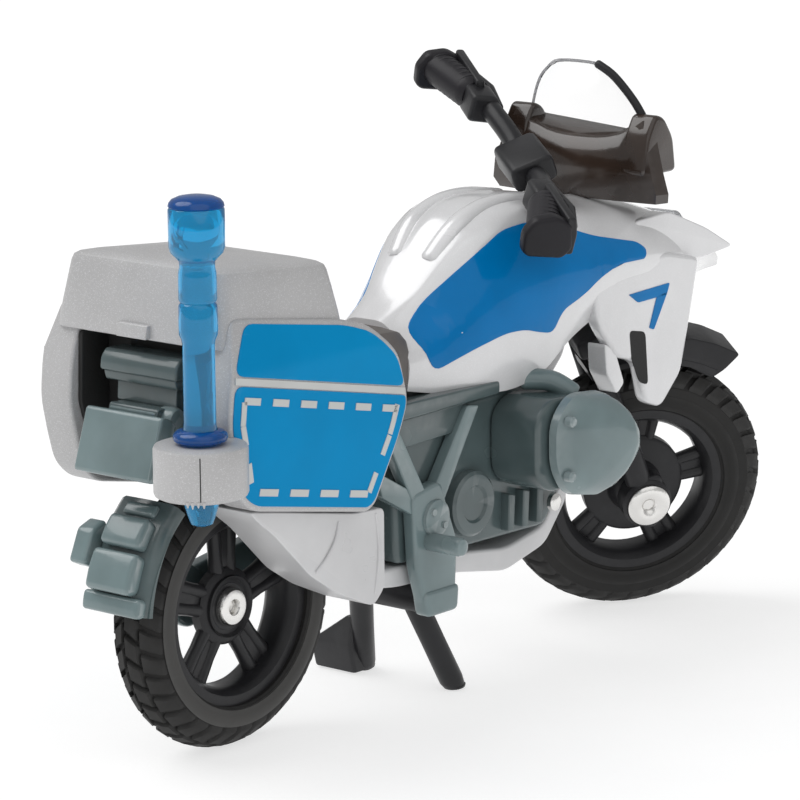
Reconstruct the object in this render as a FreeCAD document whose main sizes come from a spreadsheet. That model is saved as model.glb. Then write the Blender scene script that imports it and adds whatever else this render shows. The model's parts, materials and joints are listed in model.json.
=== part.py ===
"""Free-rolling toy police touring motorcycle, about 1:30.

Frame: origin on the ground under the middle of the toy's overall box, +X forward, +Y left, +Z up.
Outlines are drawn in side view as (x, z) with x measured forward from the rear axle and z from the ground.
"""
import FreeCAD, Part
import Sketcher
import math
import os

from FreeCAD import Placement, Rotation, Vector

DRIVING_SIZES = [
    ("rear_axle_x", -23.5, "rear axle, behind the middle of the overall box"),
    ("midplane_y", -1.5, "mid-plane of the machine; the turned handlebar widens the left side"),
    ("wheelbase", 50.0, "rear axle to front axle"),
    ("rear_tyre_radius", 10.6, "outside of the rear tread"),
    ("rear_tyre_width", 4.5, "rear tyre section width"),
    ("front_tyre_radius", 11.1, "outside of the front tread"),
    ("front_tyre_width", 3.8, "front tyre section width"),
    ("rim_radius", 7.3, "seat of the tyre on both wheels"),
    ("rim_width", 3.3, "both wheels"),
    ("hub_radius", 1.95, "both wheels"),
    ("axle_radius", 0.75, "both axles"),
    ("axle_clearance", 0.05, "running clearance round an axle"),
    ("front_axle_z", 10.78, "front axle above the ground with the steering turned"),
    ("steering_rake", 26.0, "lean of the steering axis, degrees from upright"),
    ("steering_turn", 36.0, "steering turned to the right, degrees"),
    ("stem_radius", 1.0, "steering stem"),
    ("stem_clearance", 0.08, "running clearance round the stem"),
    ("fork_spacing", 3.2, "mid-plane to the centre of a fork leg"),
    ("fork_leg_radius", 1.05, "fork leg"),
    ("bar_half_span", 15.2, "mid-plane to the end of the handlebar"),
    ("bar_radius", 0.85, "handlebar tube"),
    ("grip_radius", 1.45, "hand grip"),
    ("pannier_outer", 9.3, "mid-plane to the outside of a pannier"),
    ("pannier_inner", 6.2, "mid-plane to the inside of a pannier"),
    ("top_case_half", 8.1, "half the width of the top case at its rim"),
    ("top_case_crown", 7.0, "half the width of the top case at its lid"),
    ("lid_slope", 5.0, "fall of the top case's lid towards the seat, degrees"),
    ("fairing_inner", 5.35, "mid-plane to the inside of a side fairing"),
    ("fairing_outer", 6.6, "mid-plane to the outside of a side fairing"),
    ("seat_half", 5.0, "half the width of the seat"),
    ("mast_x", -11.5, "light mast, from the rear axle"),
    ("mast_y", -8.85, "light mast, from the mid-plane"),
    ("mast_radius", 1.14, "light mast shaft"),
    ("socket_radius", 3.34, "ring that holds the light mast"),
    ("socket_bottom", 22.3, "underside of that ring above the ground"),
    ("socket_height", 3.7, "ring that holds the light mast"),
    ("stand_pivot_x", 18.3, "centre stand pin, from the rear axle"),
    ("stand_pivot_z", 7.9, "centre stand pin above the ground"),
    ("stand_pin_radius", 0.6, "centre stand pin"),
    ("stand_leg_radius", 0.95, "centre stand leg"),
    ("stand_foot_x", 21.94, "where both legs of the stand meet the ground, from the rear axle"),
    ("right_foot_y", -4.0, "right foot of the stand, from the mid-plane"),
    ("left_foot_y", 5.2, "left foot of the stand, from the mid-plane"),
    ("tread_outer", 8.6, "mid-plane to the outside of the heel tread"),
    ("rail_half", 3.6, "half the width of the frame under the seat and cases"),
    ("swingarm_inner", 2.75, "mid-plane to the inside of the swingarm"),
    ("swingarm_outer", 4.25, "mid-plane to the outside of the swingarm"),
    ("mudguard_half", 1.95, "half the width of the front mudguard"),
    ("fork_boss_radius", 2.1, "axle boss at the foot of a fork leg"),
    ("tail_lamp_half", 3.7, "half the width of the tail lamp"),
    ("number_plate_half", 3.75, "half the width of the number plate block"),
    ("headlight_half", 2.4, "half the width of the headlight"),
    ("engine_half", 4.3, "half the width of the crankcase"),
    ("cylinder_end", 9.0, "mid-plane to the end of a cylinder"),
    ("cover_end", 12.0, "mid-plane to the outside of a cylinder cover"),
    ("belly_half", 3.9, "half the width of the belly pan"),
    ("silencer_outer", 7.6, "mid-plane to the outside of the silencer"),
    ("silencer_inner", 3.2, "mid-plane to the inside of the silencer"),
    ("hugger_radius", 12.1, "outside of the rear mudguard, from the axle"),
    ("hugger_half", 3.0, "half the width of the rear mudguard"),
    ("screen_half", 5.8, "half the width of the windscreen"),
    ("screw_radius", 0.8, "screws that hold the die-cast body"),
    ("through_cut", 40.0, "length of a cut that has to pass right through a piece"),
]

doc = FreeCAD.newDocument("police_motorcycle")
sheet = doc.addObject("Spreadsheet::Sheet", "Sizes")
for row, (alias, value, meaning) in enumerate(DRIVING_SIZES, start=1):
    sheet.set(f"A{row}", meaning)
    sheet.set(f"B{row}", str(value))
    sheet.setAlias(f"B{row}", alias)
doc.recompute()

SIZES = {alias: sheet.get(alias) for alias, _, _ in DRIVING_SIZES}
REAR_AXLE = Vector(SIZES["rear_axle_x"], SIZES["midplane_y"], 0)
RAKE = math.radians(SIZES["steering_rake"])
STEERING_AXIS = Vector(-math.sin(RAKE), 0, math.cos(RAKE))
FRONT_AXLE = Vector(SIZES["wheelbase"], 0, SIZES["front_axle_z"])
SCREWS_X = (20.0, 31.5)
SUBPARTS = []


# ---------------------------------------------------------------- helpers

def new_body(label, centre=Vector(0, 0, 0)):
    """An empty body whose origin stands at centre, measured from the rear axle's ground point."""
    piece = doc.addObject("PartDesign::Body", label)
    piece.Label = label
    piece.Placement.Base = REAR_AXLE + centre
    SUBPARTS.append(piece)
    return piece


def new_sketch(piece, role, offset="0", tilt=0.0):
    """A sketch on one of the body's origin planes, moved along the plane's normal."""
    plane = next(item for item in piece.Origin.OriginFeatures if item.Role == role)
    sketch = piece.newObject("Sketcher::SketchObject", f"{piece.Label}_outline")
    sketch.AttachmentSupport = [(plane, "")]
    sketch.MapMode = "FlatFace"
    sketch.AttachmentOffset = Placement(Vector(0, 0, 0), Rotation(Vector(0, 1, 0), tilt))
    sketch.setExpression("AttachmentOffset.Base.z", offset)
    return sketch


def add_outline(sketch, points):
    """A closed polygon through the points."""
    corners = [Vector(a, b, 0) for a, b in points]
    for start, end in zip(corners, corners[1:] + corners[:1]):
        sketch.addGeometry(Part.LineSegment(start, end), False)
    return sketch


def add_circle(sketch, centre, radius):
    """A circle whose radius is bound to an expression."""
    index = sketch.addGeometry(Part.Circle(Vector(*centre, 0), Vector(0, 0, 1), 1.0), False)
    constraint = sketch.addConstraint(Sketcher.Constraint("Radius", index, 1.0))
    sketch.setExpression(f"Constraints[{constraint}]", radius)
    return sketch


def pad(piece, sketch, length, symmetric=False):
    """Material from the sketch along its normal, or both ways from it."""
    feature = piece.newObject("PartDesign::Pad", f"{piece.Label}_pad")
    feature.Profile = sketch
    feature.SideType = "Symmetric" if symmetric else "One side"
    feature.setExpression("Length", length)
    sketch.Visibility = False
    return feature


def cut(piece, sketch, length):
    """Material taken away, as far on both sides of the sketch."""
    doc.recompute()
    before = piece.Tip.Shape.Volume
    feature = piece.newObject("PartDesign::Pocket", f"{piece.Label}_pocket")
    feature.Profile = sketch
    feature.SideType = "Symmetric"
    feature.setExpression("Length", length)
    doc.recompute()
    if feature.Shape.Volume >= before - 1e-6:
        raise RuntimeError(f"{piece.Label}: a pocket cuts nothing")
    return feature


def turn(piece, sketch):
    """A solid of revolution about the sketch's own horizontal axis."""
    feature = piece.newObject("PartDesign::Revolution", f"{piece.Label}_turn")
    feature.Profile = sketch
    feature.ReferenceAxis = (sketch, ["H_Axis"])
    feature.Angle = 360
    return feature


def round_edges(piece, radius, wanted):
    """Fillet the edges of the body's tip that pass the test."""
    doc.recompute()
    tip = piece.Tip
    names = [f"Edge{i}" for i, edge in enumerate(tip.Shape.Edges, start=1) if wanted(edge)]
    feature = piece.newObject("PartDesign::Fillet", f"{piece.Label}_fillet")
    feature.Base = (tip, names)
    feature.Radius = radius
    return feature


def runs_across(edge):
    """True for a straight edge parallel to Y."""
    along = edge.lastVertex().Point - edge.firstVertex().Point
    return along.Length > 0.3 and abs(along.y) > 0.999 * along.Length


def side_slab(label, points, half_width, corner=0.0, corners=runs_across):
    """A slab with a side-view outline, as wide on both sides of the mid-plane."""
    piece = new_body(label)
    pad(piece, add_outline(new_sketch(piece, "XZ_Plane"), points), f"2 * {half_width}", symmetric=True)
    if corner:
        round_edges(piece, corner, corners)
    return piece


def side_plate(label, points, inner, outer, side, corner=0.0):
    """A slab with a side-view outline between two distances from the mid-plane. side: -1 right, 1 left."""
    piece = new_body(label)
    start = f"({inner})" if side < 0 else f"-({outer})"
    sketch = add_outline(new_sketch(piece, "XZ_Plane", start), points)
    pad(piece, sketch, f"({outer}) - ({inner})")
    if corner:
        round_edges(piece, corner, runs_across)
    return piece


def loft(label, sections, role, tilts=None):
    """A solid through polygons, each on its own parallel plane: (offset, points)."""
    piece = new_body(label)
    sketches = []
    for index, (offset, points) in enumerate(sections):
        tilt = tilts[index] if tilts else 0.0
        sketches.append(add_outline(new_sketch(piece, role, str(offset), tilt), points))
    feature = piece.newObject("PartDesign::AdditiveLoft", f"{label}_loft")
    feature.Profile = sketches[0]
    feature.Sections = sketches[1:]
    feature.Ruled = len(sections) > 2
    return piece


def cylinder_between(name, start, end, radius):
    """A Part cylinder from start to end."""
    along = end - start
    tool = doc.addObject("Part::Cylinder", name)
    tool.Height = along.Length
    tool.setExpression("Radius", radius)
    tool.Placement = Placement(start, Rotation(Vector(0, 0, 1), along))
    return tool


def fuse(label, tools):
    """One solid from overlapping Part solids, placed at the rear axle's ground point."""
    piece = doc.addObject("Part::MultiFuse", label)
    piece.Label = label
    piece.Shapes = tools
    piece.Placement.Base = REAR_AXLE
    SUBPARTS.append(piece)
    return piece


def on_steering(piece):
    """Turn a piece about the steering axis, to the right."""
    turned = Rotation(STEERING_AXIS, -SIZES["steering_turn"])
    centre = REAR_AXLE + FRONT_AXLE
    spin = Placement(centre - turned.multVec(centre), turned)
    piece.Placement = spin.multiply(piece.Placement)
    return piece


def along_steering(distance, side=0.0, ahead=0.0):
    """A point that far up the steering axis from the front axle, and to the left and ahead of it."""
    forward = Vector(math.cos(RAKE), 0, math.sin(RAKE))
    return FRONT_AXLE + STEERING_AXIS * distance + Vector(0, side, 0) + forward * ahead


# ---------------------------------------------------------------- wheels

def make_tyre(label, centre, radius, width, crown_drop):
    """A ring with an arched tread, round the wheel's axle."""
    tyre_radius = SIZES[radius]
    half = SIZES[width] / 2
    shoulder = tyre_radius - crown_drop
    bead = SIZES["rim_radius"]
    piece = new_body(label, centre)
    sketch = new_sketch(piece, "YZ_Plane")
    crown = Part.Arc(Vector(-half, shoulder, 0), Vector(0, tyre_radius, 0), Vector(half, shoulder, 0))
    sketch.addGeometry(Part.LineSegment(Vector(-half, bead, 0), Vector(-half, shoulder, 0)), False)
    sketch.addGeometry(crown, False)
    sketch.addGeometry(Part.LineSegment(Vector(half, shoulder, 0), Vector(half, bead, 0)), False)
    sketch.addGeometry(Part.LineSegment(Vector(half, bead, 0), Vector(-half, bead, 0)), False)
    turn(piece, sketch)
    return piece


def make_rim(label, centre, hub_right, hub_left):
    """A five-spoke wheel: rim, web and hub turned in one, then five windows cut through the web."""
    rim = SIZES["rim_radius"]
    half = SIZES["rim_width"] / 2
    hub = SIZES["hub_radius"]
    bore = SIZES["axle_radius"] + SIZES["axle_clearance"]
    web = 0.8
    lip = 1.1
    piece = new_body(label, centre)
    section = [
        (hub_right, bore), (hub_right, hub), (-web, hub), (-web, rim - lip), (-half, rim - lip), (-half, rim),
        (half, rim), (half, rim - lip), (web, rim - lip), (web, hub), (hub_left, hub), (hub_left, bore),
    ]
    turn(piece, add_outline(new_sketch(piece, "YZ_Plane"), section))
    doc.recompute()
    inner = hub + 0.55
    outer = rim - lip - 0.15
    half_gap_in = math.radians(14)
    half_gap_out = math.radians(25)
    window = [
        (inner * math.cos(-half_gap_in), inner * math.sin(-half_gap_in)),
        (outer * math.cos(-half_gap_out), outer * math.sin(-half_gap_out)),
        (outer, 0.0),
        (outer * math.cos(half_gap_out), outer * math.sin(half_gap_out)),
        (inner * math.cos(half_gap_in), inner * math.sin(half_gap_in)),
    ]
    opening = add_outline(new_sketch(piece, "XZ_Plane"), window)
    pocket = cut(piece, opening, "4")
    spokes = piece.newObject("PartDesign::PolarPattern", f"{label}_spokes")
    spokes.Originals = [pocket]
    spokes.Axis = (next(i for i in piece.Origin.OriginFeatures if i.Role == "Y_Axis"), [""])
    spokes.Angle = 360
    spokes.Occurrences = 5
    piece.Tip = spokes
    return piece


def make_axle(label, centre, stations):
    """A turned pin: pairs of (distance to the left of the mid-plane, radius), as a stepped outline."""
    piece = new_body(label, centre)
    outline = [(stations[0][0], 0.0)] + stations + [(stations[-1][0], 0.0)]
    turn(piece, add_outline(new_sketch(piece, "YZ_Plane"), outline))
    return piece


def make_wheels():
    rear = Vector(0, 0, SIZES["rear_tyre_radius"])
    shaft = SIZES["axle_radius"]
    make_rim("rear_wheel_rim", rear, -0.65, 2.3)
    make_tyre("rear_tyre", rear, "rear_tyre_radius", "rear_tyre_width", 1.6)
    rear_steps = [(-1.3, 1.3), (-0.75, 1.45), (-0.75, shaft), (4.35, shaft), (4.35, 1.5), (4.85, 1.3)]
    make_axle("rear_axle", rear, rear_steps)
    on_steering(make_rim("front_wheel_rim", FRONT_AXLE, -1.9, 1.9))
    on_steering(make_tyre("front_tyre", FRONT_AXLE, "front_tyre_radius", "front_tyre_width", 1.2))
    head = SIZES["fork_spacing"] + 1.12
    ends = [
        (-head - 0.45, 1.55), (-head, 1.8), (-head, shaft),
        (head, shaft), (head, 1.8), (head + 0.45, 1.55),
    ]
    on_steering(make_axle("front_axle", FRONT_AXLE, ends))


# ---------------------------------------------------------------- steering

def make_fork():
    """Two legs with axle bosses, joined above the tyre by a crown that carries the stem."""
    spacing = SIZES["fork_spacing"]
    crown_at = 14.9
    tools = []
    for side in (-1, 1):
        foot = along_steering(0, side * spacing)
        top = along_steering(crown_at + 1.2, side * spacing)
        tools.append(cylinder_between(f"fork_leg_{side + 1}", foot, top, "Sizes.fork_leg_radius"))
        boss_start = along_steering(0, side * (spacing - 0.9))
        boss_end = along_steering(0, side * (spacing + 1.1))
        boss_name = f"fork_boss_{side + 1}"
        tools.append(cylinder_between(boss_name, boss_start, boss_end, "Sizes.fork_boss_radius"))
    crown = doc.addObject("Part::Box", "fork_crown")
    crown.Length = 3.0
    crown.Width = 2 * spacing + 2.0
    crown.Height = 1.8
    corner = along_steering(crown_at, -spacing - 1.0, -1.5)
    crown.Placement = Placement(corner, Rotation(Vector(0, 1, 0), -SIZES["steering_rake"]))
    tools.append(crown)
    whole = doc.addObject("Part::MultiFuse", "fork_blank")
    whole.Shapes = tools
    bores = doc.addObject("Part::MultiFuse", "fork_bores")
    bores.Shapes = [
        cylinder_between("fork_axle_bore", along_steering(0, -6), along_steering(0, 6), "Sizes.axle_radius"),
        cylinder_between("fork_stem_bore", along_steering(13), along_steering(19), "Sizes.stem_radius"),
    ]
    piece = doc.addObject("Part::Cut", "fork")
    piece.Label = "fork"
    piece.Base = whole
    piece.Tool = bores
    piece.Placement.Base = REAR_AXLE
    SUBPARTS.append(piece)
    on_steering(piece)


def make_front_mudguard():
    """A blade round the top of the front tyre with a pointed nose, hung under the fork crown."""
    wheel_x = FRONT_AXLE.x
    wheel_z = FRONT_AXLE.z
    inside = SIZES["front_tyre_radius"] + 0.45
    outside = inside + 1.1
    brow = (52.0, 24.7)
    nose = (56.7, 23.4)
    points = []
    for degrees in (120, 106, 92, 78):
        angle = math.radians(degrees)
        points.append((wheel_x + outside * math.cos(angle), wheel_z + outside * math.sin(angle)))
    points += [brow, nose]
    for degrees in (62, 78, 92, 106, 120):
        angle = math.radians(degrees)
        points.append((wheel_x + inside * math.cos(angle), wheel_z + inside * math.sin(angle)))
    piece = side_slab("front_mudguard", points, "Sizes.mudguard_half")
    on_steering(piece)


def make_steering_stem():
    piece = fuse("steering_stem", [
        cylinder_between("stem_shaft", along_steering(15.0), along_steering(32.65), "Sizes.stem_radius"),
        cylinder_between("stem_cap", along_steering(32.65), along_steering(33.2), "1.5"),
    ])
    on_steering(piece)


def make_handlebar():
    """A clamp on the stem, a bent tube to each side, a grip, and a guard round each hand."""
    span = SIZES["bar_half_span"]
    clamp_at = 30.4
    blank = doc.addObject("Part::Box", "bar_clamp")
    blank.Length = 3.6
    blank.Width = 5.0
    blank.Height = 2.2
    corner = along_steering(clamp_at, -2.5, -1.9)
    blank.Placement = Placement(corner, Rotation(Vector(0, 1, 0), -SIZES["steering_rake"]))
    tools = [blank]
    for side in (-1, 1):
        bends = [
            Vector(36.2, side * 1.6, 38.7), Vector(35.9, side * 5.0, 39.7), Vector(34.6, side * 9.5, 40.4),
            Vector(32.6, side * (span - 0.4), 40.3),
        ]
        for index, (start, end) in enumerate(zip(bends, bends[1:])):
            radius = "Sizes.grip_radius" if index == 2 else "Sizes.bar_radius"
            tools.append(cylinder_between(f"bar_{side + 1}_{index}", start, end, radius))
            knuckle = doc.addObject("Part::Sphere", f"bar_knuckle_{side + 1}_{index}")
            knuckle.Radius = SIZES["bar_radius"]
            knuckle.Placement.Base = start
            tools.append(knuckle)
        guard = doc.addObject("Part::Box", f"hand_guard_{side + 1}")
        guard.Length = 4.2
        guard.Width = 1.4
        guard.Height = 3.6
        guard.Placement.Base = Vector(31.0, side * span - (1.4 if side > 0 else 0.0), 38.4)
        tools.append(guard)
        shield = doc.addObject("Part::Box", f"hand_shield_{side + 1}")
        shield.Length = 0.9
        shield.Width = 6.4
        shield.Height = 3.2
        shield.Placement.Base = Vector(34.3, side * span - (6.4 if side > 0 else 0.0), 38.7)
        tools.append(shield)
        lever = doc.addObject("Part::Box", f"switch_box_{side + 1}")
        lever.Length = 3.2
        lever.Width = 3.0
        lever.Height = 2.4
        lever.Placement.Base = Vector(33.0, side * 8.4 - 1.5, 38.9)
        tools.append(lever)
    whole = doc.addObject("Part::MultiFuse", "handlebar_blank")
    whole.Shapes = tools
    piece = doc.addObject("Part::Cut", "handlebar")
    piece.Label = "handlebar"
    piece.Base = whole
    bore_ends = (along_steering(27), along_steering(33))
    piece.Tool = cylinder_between("bar_stem_bore", *bore_ends, "Sizes.stem_radius")
    piece.Placement.Base = REAR_AXLE
    SUBPARTS.append(piece)
    on_steering(piece)


# ---------------------------------------------------------------- die-cast body and screen

BODY_STATIONS = [
    # x, then half width and height of the crown, shoulder, widest line and lower edge
    (16.5, (1.6, 29.4), (2.8, 28.4), (4.2, 26.8), (4.2, 24.3)),
    (19.6, (1.8, 31.0), (2.9, 29.7), (4.7, 27.4), (4.6, 23.7)),
    (22.2, (2.3, 33.7), (3.5, 31.5), (5.4, 28.4), (4.9, 23.3)),
    (24.5, (2.5, 36.1), (4.3, 33.9), (6.1, 29.6), (5.2, 23.1)),
    (27.5, (2.6, 37.1), (4.8, 35.6), (6.7, 30.4), (5.5, 23.0)),
    (31.0, (2.7, 37.2), (5.2, 35.9), (7.2, 30.8), (5.5, 23.7)),
    (35.0, (2.8, 36.4), (5.6, 34.6), (7.3, 31.0), (5.4, 26.2)),
    (40.0, (3.2, 35.4), (6.0, 33.4), (7.0, 31.0), (5.4, 27.8)),
    (45.0, (3.4, 34.9), (5.6, 33.2), (6.7, 30.6), (5.4, 27.8)),
    (51.0, (2.8, 33.2), (4.6, 31.8), (5.6, 29.6), (4.0, 27.4)),
    (57.0, (1.4, 30.4), (2.0, 29.9), (2.6, 28.8), (1.6, 27.4)),
    (61.2, (0.6, 28.5), (0.7, 28.3), (0.8, 28.0), (0.7, 27.3)),
]

SIDE_FAIRING = [
    (36.4, 30.0), (36.8, 26.4), (39.4, 23.2), (41.4, 22.2), (43.2, 19.4), (45.3, 18.6), (48.0, 21.1),
    (48.9, 24.3), (50.0, 29.5),
]


def make_body_shell():
    """Tank, side panels and beak in one casting, slotted for the side fairings that flank the fork."""
    sections = []
    for x, *profile in BODY_STATIONS:
        right_side = [(-half, height) for half, height in reversed(profile)]
        sections.append((x, right_side + profile))
    piece = loft("body_shell", sections, "YZ_Plane")
    doc.recompute()
    seat_notch = [(10.0, 31.5), (16.55, 31.5), (16.55, 29.4), (18.1, 27.4), (17.5, 24.0), (10.0, 24.0)]
    cut(piece, add_outline(new_sketch(piece, "XZ_Plane"), seat_notch), "Sizes.through_cut")
    for side, name in ((-1, "right"), (1, "left")):
        middle = f"{-side} * (Sizes.fairing_inner + Sizes.fairing_outer) / 2"
        slot = add_outline(new_sketch(piece, "XZ_Plane", middle), SIDE_FAIRING)
        cut(piece, slot, "Sizes.fairing_outer - Sizes.fairing_inner")
        fairing = f"side_fairing_{name}"
        side_plate(fairing, SIDE_FAIRING, "Sizes.fairing_inner", "Sizes.fairing_outer", side)
    bore = new_sketch(piece, "XY_Plane")
    foot = along_steering(22)
    bore.setExpression("AttachmentOffset.Base.z", None)
    bore.AttachmentOffset = Placement(foot, Rotation(Vector(0, 1, 0), -SIZES["steering_rake"]))
    add_circle(bore, (0, 0), "Sizes.stem_radius + Sizes.stem_clearance")
    cut(piece, bore, "Sizes.through_cut")
    recess = [(51.4, 36.0), (51.4, 30.4), (56.0, 30.4), (56.0, 36.0)]
    cut(piece, add_outline(new_sketch(piece, "XZ_Plane"), recess), "2 * Sizes.headlight_half + 0.2")
    for x in SCREWS_X:
        hole = add_circle(new_sketch(piece, "XY_Plane", "26.5"), (x, 0), "Sizes.screw_radius")
        cut(piece, hole, "10")


def make_headlight():
    """A clear block let into the front of the body, above the beak."""
    outline = [(51.45, 30.45), (55.4, 30.45), (55.0, 31.4), (53.2, 33.2), (51.45, 33.4)]
    side_slab("headlight", outline, "Sizes.headlight_half")


def make_windscreen():
    """A smoked moulding: a wrapped base with side posts, and a thin raked sheet above it."""
    right_half = [(41.0, -5.6), (43.0, -8.5), (44.4, -8.6), (46.6, -6.2), (47.9, -2.4)]
    base = right_half + [(x, -y) for x, y in reversed(right_half)]
    piece = new_body("windscreen")
    pad(piece, add_outline(new_sketch(piece, "XY_Plane", "35.75"), base), "3.1")
    doc.recompute()
    raked = [(46.2, 38.0), (47.1, 38.0), (45.9, 41.6), (43.3, 46.5), (42.5, 46.3), (45.0, 41.4)]
    raked_sheet = add_outline(new_sketch(piece, "XZ_Plane"), raked)
    pad(piece, raked_sheet, "2 * Sizes.screen_half", symmetric=True)
    for side in (-1, 1):
        start = "5.7" if side < 0 else "-7.3"
        post = [(41.8, 38.0), (45.2, 38.0), (44.6, 41.6), (42.6, 42.0)]
        pad(piece, add_outline(new_sketch(piece, "XZ_Plane", start), post), "1.6")
    doc.recompute()
    corner = [(1.9, 46.9), (3.9, 45.6), (5.2, 43.6), (5.9, 41.6), (7.0, 43.0), (7.0, 47.5), (1.9, 47.5)]
    for mirror in (-1, 1):
        trim = add_outline(new_sketch(piece, "YZ_Plane", "44"), [(mirror * y, z) for y, z in corner])
        cut(piece, trim, "12")


def make_seat():
    outline = [(4.7, 24.9), (4.7, 30.2), (11.0, 29.7), (16.4, 29.3), (18.0, 27.35), (17.35, 24.9)]
    side_slab("seat", outline, "Sizes.seat_half", 0.6, lambda e: runs_across(e) and e.CenterOfMass.z > 28.8)


# ---------------------------------------------------------------- engine and frame

def make_engine():
    """A crankcase with a flat-twin cylinder and cover on each side."""
    outline = [(14.8, 11.2), (33.2, 10.9), (35.0, 14.0), (34.6, 22.6), (15.4, 22.6), (14.4, 19.0)]
    block = side_slab("crankcase", outline, "Sizes.engine_half")
    for x in SCREWS_X:
        hole = add_circle(new_sketch(block, "XY_Plane", "16"), (x, 0), "Sizes.screw_radius")
        cut(block, hole, "20")
    barrel = [
        (26.0, 16.6), (27.6, 15.2), (33.0, 15.2), (34.4, 16.8),
        (34.4, 20.8), (33.0, 22.3), (27.6, 22.5), (26.0, 21.2),
    ]
    cover = [
        (26.2, 17.0), (28.2, 14.7), (33.4, 14.1), (35.6, 16.6),
        (35.4, 19.8), (33.4, 22.7), (28.4, 22.9), (26.4, 20.9),
    ]
    for side, name in ((-1, "right"), (1, "left")):
        side_plate(f"cylinder_{name}", barrel, "Sizes.engine_half + 0.05", "Sizes.cylinder_end", side, 0.6)
        cap = f"cylinder_cover_{name}"
        side_plate(cap, cover, "Sizes.cylinder_end + 0.05", "Sizes.cover_end", side, 0.8)


def make_frame():
    """Side plates with the footrests and the stand's lugs, and the rail under the seat and cases."""
    plate = [
        (11.2, 24.2), (15.6, 22.7), (18.6, 17.0), (20.6, 12.4), (20.2, 7.0), (16.6, 7.0), (15.4, 11.0),
        (12.2, 16.4), (11.2, 19.0),
    ]
    for side, name in ((-1, "right"), (1, "left")):
        label = f"frame_plate_{name}"
        piece = side_plate(label, plate, "Sizes.engine_half + 0.1", "Sizes.engine_half + 1.5", side)
        centre = (SIZES["stand_pivot_x"], SIZES["stand_pivot_z"])
        doc.recompute()
        hole = add_circle(new_sketch(piece, "XZ_Plane"), centre, "Sizes.stand_pin_radius")
        cut(piece, hole, "Sizes.through_cut")
        peg_start = "Sizes.engine_half + 1.4" if side < 0 else "-(Sizes.engine_half + 4.6)"
        peg = new_sketch(piece, "XZ_Plane", peg_start)
        pad(piece, add_outline(peg, [(15.8, 12.2), (18.4, 12.2), (18.2, 13.6), (16.0, 13.6)]), "3.2")
    rail = [
        (-5.6, 31.6), (4.5, 31.6), (4.5, 24.8), (11.0, 24.8), (14.2, 24.3),
        (14.2, 22.8), (4.0, 22.5), (-4.0, 22.5), (-5.6, 24.4),
    ]
    side_slab("rear_frame", rail, "Sizes.rail_half")
    arm = [
        (-1.9, 9.2), (-1.9, 12.0), (-0.6, 12.9), (10.5, 14.6), (13.9, 15.0),
        (14.1, 11.8), (10.5, 11.4), (1.6, 8.8), (-0.6, 8.4),
    ]
    swingarm = side_plate("swingarm", arm, "Sizes.swingarm_inner", "Sizes.swingarm_outer", 1)
    doc.recompute()
    centre = (0, SIZES["rear_tyre_radius"])
    hole = add_circle(new_sketch(swingarm, "XZ_Plane"), centre, "Sizes.axle_radius")
    cut(swingarm, hole, "Sizes.through_cut")


def make_belly_pan():
    outline = [
        (12.0, 11.1), (12.0, 9.9), (15.5, 9.35), (22.5, 9.1), (28.6, 8.0), (33.6, 9.2), (36.4, 12.4),
        (36.4, 14.0), (35.3, 13.6), (33.4, 10.8), (28.6, 9.9), (22.5, 10.7), (15.5, 11.0),
    ]
    side_slab("belly_pan", outline, "Sizes.belly_half")


def make_silencer():
    outline = [
        (-5.2, 19.7), (-4.2, 18.7), (-2.6, 17.5), (1.3, 13.7), (4.1, 11.9), (8.3, 10.0),
        (9.6, 11.2), (9.6, 17.3), (6.3, 17.45), (-2.0, 19.1),
    ]
    side_plate("silencer", outline, "Sizes.silencer_inner", "Sizes.silencer_outer", -1)


def make_screws():
    piece = doc.addObject("Part::Compound", "body_screws")
    piece.Label = "body_screws"
    shafts = []
    for index, x in enumerate(SCREWS_X):
        head = Vector(x, 0, 11.4)
        tip = Vector(x, 0, 26.4)
        shafts.append(cylinder_between(f"screw_{index}", head, tip, "Sizes.screw_radius"))
    piece.Links = shafts
    piece.Placement.Base = REAR_AXLE
    SUBPARTS.append(piece)


# ---------------------------------------------------------------- stand

def web_between(name, low, high):
    """A tapered block between two level rectangles, each (height, x from, x to, y from, y to)."""
    block = doc.addObject("Part::Wedge", name)
    block.Xmin, block.Xmax = low[1:3]
    block.X2min, block.X2max = high[1:3]
    block.Zmin, block.Zmax = -low[4], -low[3]
    block.Z2min, block.Z2max = -high[4], -high[3]
    block.Ymin, block.Ymax = low[0], high[0]
    block.Placement.Rotation = Rotation(Vector(1, 0, 0), 90)
    return block


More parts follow.
